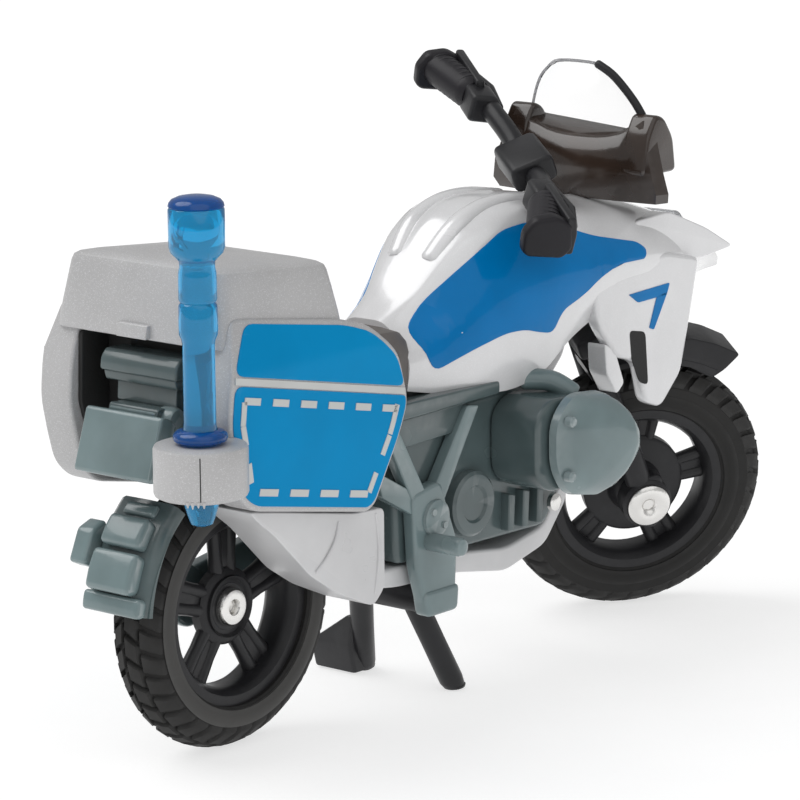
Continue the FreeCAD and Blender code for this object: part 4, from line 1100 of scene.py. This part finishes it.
def tread_block(centre, first, last, y0, y1, skew, radius, half, drop, depth):
    """One rubber block: a patch of the tread between two angles and two widths, raised by depth."""
    made = bmesh.new()
    levels = []
    for rise, pinch in ((-0.25, 0.0), (depth * 0.75, 0.02), (depth, 0.07)):
        row = []
        margin = (last - first) * pinch
        side = (y1 - y0) * pinch
        for angle, y in ((first + margin, y0 + side), (last - margin, y0 + side),
                         (last - margin, (y0 + y1) / 2), (last - margin, y1 - side),
                         (first + margin, y1 - side), (first + margin, (y0 + y1) / 2)):
            slid = angle + skew * (abs(y) / half)
            distance = tyre_radius_at(y, radius, half, drop) + rise
            row.append(made.verts.new((centre[0] + distance * math.cos(slid), centre[1] + y,
                                       centre[2] + distance * math.sin(slid))))
        levels.append(row)
    for low, high in zip(levels, levels[1:]):
        for index in range(6):
            beside = (index + 1) % 6
            made.faces.new((low[index], low[beside], high[beside], high[index]))
    made.faces.new(levels[-1])
    made.faces.new(levels[0][::-1])
    bmesh.ops.recalc_face_normals(made, faces=made.faces)
    return made


def tyre_meshes(centre, radius, half, drop):
    """The carcass, the raised rings on its walls, and the chevron blocks round it."""
    depth = sizes().tread_depth
    road = radius - depth
    tread = []
    for index in range(13):
        y = half * (index / 6 - 1)
        tread.append((y, tyre_radius_at(y, road, half, drop)))
    shoulder = tread[0][1]
    carcass = turned([(-half + 0.3, TYRE_SEAT)] + [(-half, 7.6)] + tread + [(half, 7.6), (half - 0.3, TYRE_SEAT)],
                     centre, steps=96)
    walls = []
    for side in (-1, 1):
        y = side * half
        ring = [(y - side * 0.2, 7.45), (y + side * 0.02, 7.5), (y + side * 0.13, 7.9), (y + side * 0.14, 8.35),
                (y + side * 0.02, 8.75), (y - side * 0.2, min(8.8, shoulder))]
        walls.append(turned(ring, centre, steps=96))
    blocks = []
    count = sizes().tread_blocks
    pitch = 2 * math.pi / count
    for index in range(count):
        start = index * pitch
        for side in (-1, 1):
            for inner, outer, offset, share in ((0.04, 0.46, 0.0, 0.8), (0.52, 0.97, 0.32, 0.74)):
                bounds = sorted((side * inner * half, side * outer * half))
                first = start + (offset + (0.5 if side > 0 else 0.0)) * pitch
                blocks.append(tread_block(centre, first, first + share * pitch, *bounds, 0.9 * pitch,
                                          road, half, drop, depth))
    return carcass, gather(*walls), gather(*blocks)


class TOY_OT_wheels(bpy.types.Operator):
    """Both wheels: cast rims with five pairs of spokes, blocky tyres, and the axle rivets"""
    bl_idname = "toy.wheels"
    bl_label = "Wheels"

    def execute(self, context):
        # The rear tyre's wall rings get the lighter rubber as a painted highlight; the front ones stay plain rubber.
        for name, centre, radius, half, drop, hub_half, disc, wall in (
            ("rear", REAR_AXLE, 10.6, 2.25, 1.6, 0.65, 2.9, "tyre_wall_painted_highlight"),
            ("front", FRONT_AXLE, 11.1, 1.9, 1.2, 1.9, 4.3, "tyre_rubber"),
        ):
            body = f"{name}_wheel"
            carcass, walls, blocks = tyre_meshes(centre, radius, half, drop)
            rim = rim_mesh(centre, 1.65, hub_half, disc)
            piece(f"{name}_rim_cast", rim, body, "black_plastic", replaces=[f"{name}_wheel_rim"])
            piece(f"{name}_tyre_carcass", carcass, body, "tyre_rubber", replaces=[f"{name}_tyre"])
            piece(f"{name}_tyre_walls", walls, body, "tyre_rubber", wall)
            piece(f"{name}_tread_blocks", blocks, body, "tyre_rubber")
        rear_rivet = gather(
            turned([(-0.7, 0.0), (-0.7, 0.74), (4.3, 0.74), (4.3, 0.0)], REAR_AXLE, steps=32),
            turned([(-0.72, 1.45), (-1.0, 1.44), (-1.22, 1.28), (-1.3, 1.0), (-1.24, 0.62), (-0.9, 0.42),
                    (-0.72, 0.42)],
                   REAR_AXLE, steps=48),
            turned([(4.35, 0.3), (4.35, 1.5), (4.7, 1.42), (4.85, 1.1), (4.8, 0.6), (4.6, 0.3)], REAR_AXLE,
                   steps=48),
        )
        head = [(4.32, 1.8), (4.52, 1.79), (4.7, 1.6), (4.77, 1.25), (4.72, 0.8), (4.44, 0.5), (4.32, 0.5)]
        ends = [boss(side, head, FRONT_AXLE, 48) for side in (-1, 1)]
        shaft = turned([(-4.3, 0.0), (-4.3, 0.74), (4.3, 0.74), (4.3, 0.0)], FRONT_AXLE, steps=32)
        piece("rear_axle_rivet", rear_rivet, "chassis", "bright_steel", replaces=["rear_axle"])
        piece("front_axle_rivet", gather(shaft, *ends), "steering", "bright_steel", replaces=["front_axle"])
        return {"FINISHED"}


# ---------------------------------------------------------------- steering

BAR_CANT_DEGREES = 3.5


def on_fork(distance, side=0.0, ahead=0.0):
    """A point that far up the steering axis from the front axle, to the left and ahead of it."""
    up = Vector((-math.sin(RAKE), 0, math.cos(RAKE)))
    forward = Vector((math.cos(RAKE), 0, math.sin(RAKE)))
    return FRONT_AXLE + up * distance + Vector((0, side, 0)) + forward * ahead


class TOY_OT_fork(bpy.types.Operator):
    """Fork legs with their sliders and axle bosses, the crown, the stem and the beaked mudguard"""
    bl_idname = "toy.fork"
    bl_label = "Fork and Front Mudguard"

    def execute(self, context):
        parts = []
        for side in (-1, 1):
            y = side * 3.2
            parts.append(rod([on_fork(0, y), on_fork(7.5, y), on_fork(8.0, y), on_fork(16.0, y)],
                             [1.05, 1.05, 0.82, 0.82], sides=24))
            parts.append(boss(side, [(2.3, 0.8), (2.35, 1.9), (2.55, 2.1), (4.05, 2.1), (4.28, 1.9), (4.28, 0.8)],
                              FRONT_AXLE, 40))
            parts.append(slab([(49.0, 8.6), (51.2, 8.4), (52.0, 10.6), (50.8, 13.4), (48.4, 12.6)],
                              *span(side, 2.5, 4.0), corner=0.6, edge=0.3))
        parts.append(on_rake(block((0, -4.1, 0), (3.0, 4.1, 1.8), edge=0.25, corner=0.5), on_fork(14.9, 0, -1.5)))
        wall = [(-1.95, 11.6), (-1.95, 12.1), (-1.5, 12.55), (-0.6, 12.72)]
        section = wall + [(-y, radius) for y, radius in wall[::-1]]
        blade = loft([arch_ring(FRONT_AXLE, degrees, section) for degrees in range(120, 60, -6)])
        nose = slab([(49.6, 23.4), (52.0, 24.7), (54.4, 24.2), (56.7, 23.3), (55.6, 21.9), (54.6, 21.1),
                     (52.2, 22.2)],
                    -1.9, 1.9, corner=0.35, edge=0.4, segments=4)
        stem = turned([(14.6, 0.0), (14.6, 1.0), (31.2, 1.0), (31.4, 0.8), (31.4, 0.0)], (0, 0, 0), along="z",
                      steps=40)
        on_rake(stem, FRONT_AXLE)
        piece("fork_legs", gather(*parts), "steering", "black_plastic", replaces=["fork"])
        piece("front_mudguard_blade", gather(blade, nose), "steering", "black_plastic", replaces=["front_mudguard"])
        piece("stem_rod", stem, "steering", "bright_steel", replaces=["steering_stem"])
        return {"FINISHED"}


class TOY_OT_handlebar(bpy.types.Operator):
    """The bar, its clamp, grips, switch boxes, levers and hand guards"""
    bl_idname = "toy.handlebar"
    bl_label = "Handlebar"

    def execute(self, context):
        bars = []
        grips = []
        for side in (-1, 1):
            line = [(36.2, side * 1.2, 38.6), (36.1, side * 3.2, 39.2), (35.6, side * 5.6, 39.8),
                    (34.9, side * 8.6, 40.2), (33.6, side * 12.0, 40.3), (32.7, side * 14.6, 40.3)]
            bars.append(capsule(smooth_path(line), 0.85, sides=18))
            grip_line = [(34.4, side * 9.9, 40.25), (33.5, side * 12.4, 40.3), (32.8, side * 14.5, 40.3)]
            grips.append(capsule(smooth_path(grip_line, steps=4), 1.4, sides=24))
            for step in range(7):
                share = step / 6
                spot = Vector(grip_line[0]).lerp(Vector(grip_line[2]), 0.08 + 0.8 * share)
                grips.append(rod([spot, spot + Vector((-0.03, side * 0.26, 0))], 1.44, sides=24))
            grips.append(slab([(31.1, 38.9), (31.6, 38.5), (34.4, 38.4), (35.1, 39.2), (34.8, 41.2), (33.4, 41.9),
                               (31.7, 41.6), (31.0, 40.4)], *span(side, 13.95, 15.18), 0.4, 0.35, 4))
            bars.append(slab([(33.4, 39.0), (35.8, 38.8), (36.3, 40.2), (35.6, 41.2), (33.6, 41.3)],
                             *span(side, 7.1, 9.8), 0.45, 0.38, 4))
            bars.append(capsule([(36.0, side * 7.4, 40.2), (36.2, side * 10.6, 40.4), (35.4, side * 13.6, 40.4)],
                                0.34,
                                sides=12))
            shield = [(34.4, 38.7), (35.2, 38.7), (35.3, 40.4), (35.0, 41.8), (34.3, 41.8)]
            bars.append(slab(shield, *span(side, 9.0, 15.0), 0.25, 0.25, 4))
        clamp = on_rake(block((0, -2.5, 0), (3.6, 2.5, 2.2), edge=0.35, corner=0.6), on_fork(30.4, 0, -1.9))
        pivot = Matrix.Translation((36.2, 0, 38.7))
        cant = pivot @ Matrix.Rotation(math.radians(BAR_CANT_DEGREES), 4, "X") @ pivot.inverted()
        for made in bars + grips:
            placed(made, cant)
        piece("handlebar_tubes", gather(clamp, *bars), "steering", "black_plastic", replaces=["handlebar"])
        piece("handlebar_grips", gather(*grips), "steering", "black_plastic", "grip_plastic")
        return {"FINISHED"}


# ---------------------------------------------------------------- engine and frame

def cover_mesh(side):
    """A cylinder cover that swells from its joint and comes to a blunt ridge."""
    outline = [(27.2, 17.3), (28.8, 14.9), (33.2, 14.1), (35.6, 16.6), (35.6, 19.6), (33.8, 22.4), (29.2, 22.8),
               (27.2, 20.9)]
    middle_of = Vector((31.2, 18.6))
    rounded = round_outline(outline, 1.2, steps=5)
    rings = []
    for y, scale, forward in ((9.05, 0.93, 0.0), (9.25, 1.0, 0.0), (9.9, 0.98, 0.0), (10.7, 0.84, 0.8),
                              (11.3, 0.64, 1.7), (11.7, 0.42, 2.5), (11.9, 0.2, 3.1), (11.98, 0.08, 3.4)):
        ring = []
        for point in rounded:
            placed = middle_of + (point - middle_of) * scale
            ring.append((min(35.6, placed.x + forward), side * y, placed.y))
        rings.append(ring)
    return loft(rings)


class TOY_OT_engine(bpy.types.Operator):
    """Crankcase with its ribs and bosses, both cylinders and covers, and the intake pipes"""
    bl_idname = "toy.engine"
    bl_label = "Engine"

    def execute(self, context):
        case = [slab([(14.8, 11.2), (33.2, 10.9), (35.0, 14.0), (34.6, 22.6), (15.4, 22.6), (14.4, 19.0)],
                     -4.3, 4.3, corner=1.0, edge=0.5, segments=4)]
        for side, name in SIDES:
            case.append(slab([(10.8, 24.0), (25.8, 23.9), (25.8, 22.9), (11.2, 22.7)], *span(side, 4.0, 5.6), 0.3,
                             0.25))
            case.append(slab([(12.6, 22.6), (22.6, 22.8), (21.6, 20.6), (14.4, 20.4)], *span(side, 4.1, 5.0), 0.4,
                             0.3))
            case.append(boss(side, [(4.2, 0.0), (4.2, 2.6), (5.0, 2.55), (5.2, 2.3), (5.2, 1.5), (5.0, 1.3),
                                    (5.0, 0.0)],
                             (23.2, 0, 14.6), 48))
            for x in (27.4, 29.2, 31.0):
                case.append(slab([(x, 11.6), (x + 0.7, 11.5), (x + 0.9, 14.4), (x + 0.1, 14.6)],
                                 *span(side, 4.1, 5.1),
                                 0.2, 0.2))
            barrel = slab([(26.0, 16.6), (27.6, 15.2), (33.0, 15.2), (34.4, 16.8), (34.4, 20.8), (33.0, 22.3),
                           (27.6, 22.5), (26.0, 21.2)], *span(side, 4.35, 9.0), corner=1.4, edge=0.3, segments=4)
            pipe = capsule(smooth_path([(29.4, side * 5.0, 23.4), (30.8, side * 6.6, 23.2),
                                        (31.8, side * 8.0, 22.2)]),
                           0.85, sides=20)
            head = [(10.2, 0.0), (10.2, 0.42), (10.75, 0.42), (10.9, 0.28), (10.9, 0.0)]
            bolts = [boss(side, head, (x, 0, z), 20) for x, z in ((28.3, 20.9), (28.2, 16.6), (33.2, 21.0))]
            rivet = boss(side, [(4.9, 0.0), (4.9, 0.75), (5.25, 0.7), (5.4, 0.4), (5.4, 0.0)], (33.2, 0, 12.9), 28)
            # The barrels take the engine plastic at half colour as painted shade.
            piece(f"cylinder_{name}_barrel", barrel, "chassis", "engine_plastic", "engine_painted_shade",
                  replaces=[f"cylinder_{name}"])
            piece(f"cylinder_{name}_cover", gather(cover_mesh(side), *bolts), "chassis", "engine_plastic",
                  replaces=[f"cylinder_cover_{name}"], sharp=26)
            piece(f"intake_{name}", pipe, "chassis", "engine_plastic")
            piece(f"engine_rivet_{name}", rivet, "chassis", "bright_steel")
        # The crankcase takes the engine plastic at half colour as painted shade.
        piece("crankcase_block", gather(*case), "chassis", "engine_plastic", "engine_painted_shade", replaces=["crankcase"])
        return {"FINISHED"}


class TOY_OT_frame_parts(bpy.types.Operator):
    """Side plates with their struts and footrests, the rear frame drawn black as painted shade, the swingarm and the
    screws
    """
    bl_idname = "toy.frame_parts"
    bl_label = "Frame"

    def execute(self, context):
        for side, name in SIDES:
            parts = [
                slab([(15.2, 16.8), (18.6, 17.4), (20.6, 12.4), (20.3, 7.4), (16.8, 7.4), (15.6, 11.2)],
                     *span(side, 4.4, 5.6), corner=0.6, edge=0.3),
                slab([(11.0, 24.2), (12.6, 24.2), (17.4, 16.0), (16.0, 15.2)], *span(side, 4.45, 5.5), 0.3, 0.28),
                slab([(22.0, 22.6), (23.4, 22.4), (18.8, 15.2), (17.2, 15.8)], *span(side, 4.45, 5.5), 0.3, 0.28),
                slab([(11.2, 19.4), (12.0, 17.2), (16.6, 14.6), (17.0, 16.2), (13.4, 18.2)], *span(side, 4.4, 5.4),
                     0.3, 0.28),
                boss(side, [(5.3, 0.0), (5.3, 1.5), (5.85, 1.4), (6.0, 1.1), (6.0, 0.0)], (17.9, 0, 14.6), 36),
                capsule([(17.2, side * 5.5, 12.9), (17.2, side * 8.7, 12.9)], 0.72, sides=16),
                slab([(16.4, 9.0), (20.6, 9.0), (20.4, 6.95), (16.8, 6.95)], *span(side, 4.35, 5.78), 0.5, 0.3),
            ]
            for x, z in ((17.2, 15.2), (18.5, 14.0)):
                parts.append(boss(side, [(5.9, 0.0), (5.9, 0.32), (6.15, 0.26), (6.15, 0.0)], (x, 0, z), 16))
            piece(f"side_plate_{name}", gather(*parts), "chassis", "engine_plastic",
                  replaces=[f"frame_plate_{name}"])
        # The rear frame is black painted shade: its block fills the gap between the cases, and its cheeks line the
        # cases' inner walls where shade falls.
        rear = gather(
            slab([(-5.5, 31.7), (4.5, 31.7), (4.5, 24.8), (11.0, 24.8), (14.2, 24.3), (14.2, 22.8), (4.0, 22.5),
                  (-4.0, 22.5), (-5.5, 24.4)], -3.6, 3.6, corner=0.5, edge=0.3),
            slab([(-5.4, 31.7), (4.4, 31.7), (4.4, 24.9), (-5.4, 24.9)], -6.1, 6.1, corner=0.4, edge=0.2),
            *[slab([(-8.1, 31.7), (-5.0, 31.7), (-5.0, 21.6), (-7.0, 22.2), (-8.3, 26.5)], *span(side, 5.75, 6.16),
                   0.4, 0.1)
              for side in (1, -1)],
            capsule([(-5.6, -3.0, 24.0), (-5.6, 3.0, 24.0)], 0.5, sides=14),
        )
        arm = gather(
            slab([(-1.9, 9.2), (-1.9, 12.0), (-0.6, 12.9), (10.5, 14.6), (13.9, 15.0), (14.1, 11.8), (10.5, 11.4),
                  (1.6, 8.8), (-0.6, 8.4)], 2.78, 4.25, corner=0.8, edge=0.35, segments=4),
            turned([(4.2, 0.9), (4.2, 1.9), (4.32, 1.8), (4.32, 0.9)], REAR_AXLE, steps=40),
        )
        screws = [rod([(x, 0, 11.4), (x, 0, 26.4)], 0.78, sides=20) for x in (20.0, 31.5)]
        pin = turned([(-5.6, 0.0), (-5.6, 0.45), (-5.5, 0.58), (5.5, 0.58), (5.6, 0.45), (5.6, 0.0)],
                     STAND_PIVOT, steps=24)
        piece("rear_frame_rail", rear, "chassis", "engine_plastic", "seam_black_and_painted_shade", replaces=["rear_frame"])
        piece("swingarm_cast", arm, "chassis", "engine_plastic", replaces=["swingarm"])
        piece("casting_screws", gather(*screws), "chassis", "bright_steel", replaces=["body_screws"])
        piece("stand_pivot_pin", pin, "chassis", "bright_steel", replaces=["stand_pin"])
        return {"FINISHED"}


class TOY_OT_belly_and_silencer(bpy.types.Operator):
    """The skid pan under the engine, and the silencer with its end cap seam"""
    bl_idname = "toy.belly_and_silencer"
    bl_label = "Belly Pan and Silencer"

    def execute(self, context):
        pan = slab([(12.0, 11.1), (12.0, 9.9), (15.5, 9.35), (22.5, 9.1), (28.6, 8.0), (33.6, 9.2), (36.4, 12.4),
                    (36.4, 14.0), (35.3, 13.6), (33.4, 10.8), (28.6, 9.9), (22.5, 10.7), (15.5, 11.0)],
                   -3.9, 3.9, corner=0.9, edge=0.4, segments=4)
        shell = slab([(-5.2, 19.7), (-4.2, 18.7), (-2.6, 17.5), (1.3, 13.7), (4.1, 11.9), (8.3, 10.0), (9.6, 11.2),
                      (9.6, 17.3), (6.3, 17.45), (-2.0, 19.1)], -7.6, -3.2, corner=0.6, edge=0.8, segments=6)
        seam = [(4.4, -7.6, 17.2), (4.0, -7.66, 16.0), (3.0, -7.66, 14.8), (1.8, -7.62, 13.9)]
        weld = rod(smooth_path(seam), 0.1, sides=8)
        lip = rod(smooth_path([(8.6, -7.55, 17.0), (8.9, -7.62, 14.0), (8.4, -7.55, 10.9)]), 0.12, sides=8)
        piece("belly_skid", pan, "chassis", "silver_plastic", replaces=["belly_pan"])
        piece("silencer_shell", shell, "chassis", "silver_plastic", replaces=["silencer"])
        piece("silencer_seams", gather(weld, lip), "chassis", "silver_plastic")
        return {"FINISHED"}


class TOY_OT_stand(bpy.types.Operator):
    """The centre stand: hub, two splayed legs, the web and tread on the left foot"""
    bl_idname = "toy.stand"
    bl_label = "Centre Stand"

    def execute(self, context):
        parts = [turned([(-4.2, 0.66), (-4.2, 1.0), (-4.05, 1.1), (4.05, 1.1), (4.2, 1.0), (4.2, 0.66)],
                        STAND_PIVOT, steps=36)]
        for top_y, foot_y in ((-2.9, -4.0), (2.3, 5.2)):
            top = Vector((18.3, top_y, 7.9))
            foot = Vector((21.94, foot_y, 0.25))
            parts.append(rod([top, top.lerp(foot, 0.5), top.lerp(foot, 0.92), foot], [0.95, 0.93, 0.95, 0.86],
                             sides=24))
            parts.append(rod([foot + Vector((0.02, 0, 0)), foot + Vector((0.06, 0, -0.24))], [0.9, 0.84], sides=24))
        web = []
        for z, x0, x1, y0, y1 in ((0.02, 19.95, 22.45, 4.45, 8.5), (0.2, 19.9, 22.5, 4.4, 8.58),
                                  (2.2, 19.35, 21.7, 4.4, 8.55), (2.5, 19.3, 21.5, 4.35, 8.3),
                                  (5.0, 18.95, 20.3, 3.7, 4.5)):
            web.append([(p.x, p.y, z) for p in round_outline([(x0, y0), (x1, y0), (x1, y1), (x0, y1)], 0.3, 3)])
        parts.append(loft(web))
        piece("stand_legs", above_floor(gather(*parts)), "stand", "black_plastic", replaces=["centre_stand"])
        return {"FINISHED"}


# ---------------------------------------------------------------- stage

FLOOR_GAP = 0.00002
FLOOR_GLOW = 0.66
ROOM_LIGHT = 0.42
CAMERA_AT = (-0.2397, -0.2013, 0.08862)
CAMERA_DEGREES = (40.17, 12.04, 0.49)
CAMERA_LENS = 185.8


def soft_sun(name, towards, strength, spread):
    """A wide, even light that comes from a direction."""
    data = bpy.data.lights.new(name, "SUN")
    data.energy = strength
    data.angle = math.radians(spread)
    lamp = bpy.data.objects.new(name, data)
    bpy.context.scene.collection.objects.link(lamp)
    lamp.rotation_euler = Vector(towards).to_track_quat("Z", "Y").to_euler()


class TOY_OT_stage(bpy.types.Operator):
    """Pale floor, soft lights, white surroundings and the camera"""
    bl_idname = "toy.stage"
    bl_label = "Stage"

    def execute(self, context):
        scene = context.scene
        scene.view_settings.view_transform = "Standard"
        made = bmesh.new()
        bmesh.ops.create_grid(made, x_segments=8, y_segments=8, size=3.0)
        mesh = bpy.data.meshes.new("floor")
        made.to_mesh(mesh)
        made.free()
        floor = bpy.data.objects.new("floor", mesh)
        scene.collection.objects.link(floor)
        floor.location.z = CAD_BOX[0].z - FLOOR_GAP
        paper = make_finish("pale_floor", (0.42, 0.42, 0.42), 0.7, drift=0.01, grain=0.02, wear=0.0, specular=0.05)
        glow = paper.node_tree.nodes["Principled BSDF"]
        glow.inputs["Emission Color"].default_value = (1, 1, 1, 1)
        glow.inputs["Emission Strength"].default_value = FLOOR_GLOW
        mesh.materials.append(paper)
        world = bpy.data.worlds.new("white_room")
        world.use_nodes = True
        tree = world.node_tree
        seen = add_node(tree, "ShaderNodeLightPath")
        level = add_node(tree, "ShaderNodeMapRange")
        level.inputs["To Min"].default_value = ROOM_LIGHT
        level.inputs["To Max"].default_value = 1.0
        tree.links.new(seen.outputs["Is Camera Ray"], level.inputs["Value"])
        tree.links.new(level.outputs["Result"], tree.nodes["Background"].inputs["Strength"])
        tree.nodes["Background"].inputs["Color"].default_value = (1, 1, 1, 1)
        scene.world = world
        soft_sun("key", (-0.5, 0.75, 1.3), 1.5, 50)
        soft_sun("fill", (-0.5, -0.9, 1.0), 0.55, 70)
        data = bpy.data.cameras.new("camera")
        data.lens = CAMERA_LENS
        data.sensor_width = 36.0
        data.clip_start = 0.01
        camera = bpy.data.objects.new("camera", data)
        scene.collection.objects.link(camera)
        azimuth, elevation, roll = (math.radians(angle) for angle in CAMERA_DEGREES)
        ahead = Vector((math.cos(azimuth) * math.cos(elevation), math.sin(azimuth) * math.cos(elevation),
                        -math.sin(elevation)))
        level = Vector((math.sin(azimuth), -math.cos(azimuth), 0))
        down = ahead.cross(level)
        right = level * math.cos(roll) + down * math.sin(roll)
        up = right.cross(ahead)
        camera.matrix_world = Matrix.Translation(CAMERA_AT) @ Matrix(
            (right, up, -ahead)).transposed().to_4x4()
        scene.camera = camera
        return {"FINISHED"}


# ---------------------------------------------------------------- panel and registration

OPERATORS = (
    TOY_OT_panniers, TOY_OT_top_case, TOY_OT_light_mast, TOY_OT_tail, TOY_OT_body, TOY_OT_side_fairings,
    TOY_OT_seat, TOY_OT_headlight, TOY_OT_windscreen, TOY_OT_wheels, TOY_OT_fork, TOY_OT_handlebar,
    TOY_OT_engine, TOY_OT_frame_parts, TOY_OT_belly_and_silencer, TOY_OT_stand, TOY_OT_stage,
)


class TOY_PT_panel(bpy.types.Panel):
    """Lists the builders of the toy's pieces"""
    bl_idname = "TOY_PT_panel"
    bl_label = "Police Motorcycle Toy"
    bl_space_type = "VIEW_3D"
    bl_region_type = "UI"
    bl_category = "Toy"

    def draw(self, context):
        layout = self.layout
        for group in (context.scene.bike_sizes, context.scene.bike_colours):
            for name in group.__annotations__:
                layout.prop(group, name)
        for operator in OPERATORS:
            layout.operator(operator.bl_idname)


CLASSES = (BikeSizes, BikeColours, *OPERATORS, TOY_PT_panel)


def register():
    for each in CLASSES:
        bpy.utils.register_class(each)
    bpy.types.Scene.bike_sizes = PointerProperty(type=BikeSizes)
    bpy.types.Scene.bike_colours = PointerProperty(type=BikeColours)


def unregister():
    del bpy.types.Scene.bike_colours
    del bpy.types.Scene.bike_sizes
    for each in reversed(CLASSES):
        bpy.utils.unregister_class(each)


def main():
    register()
    make_materials()
    for operator in OPERATORS:
        group, name = operator.bl_idname.split(".")
        getattr(getattr(bpy.ops, group), name)()


if __name__ == "__main__":
    main()
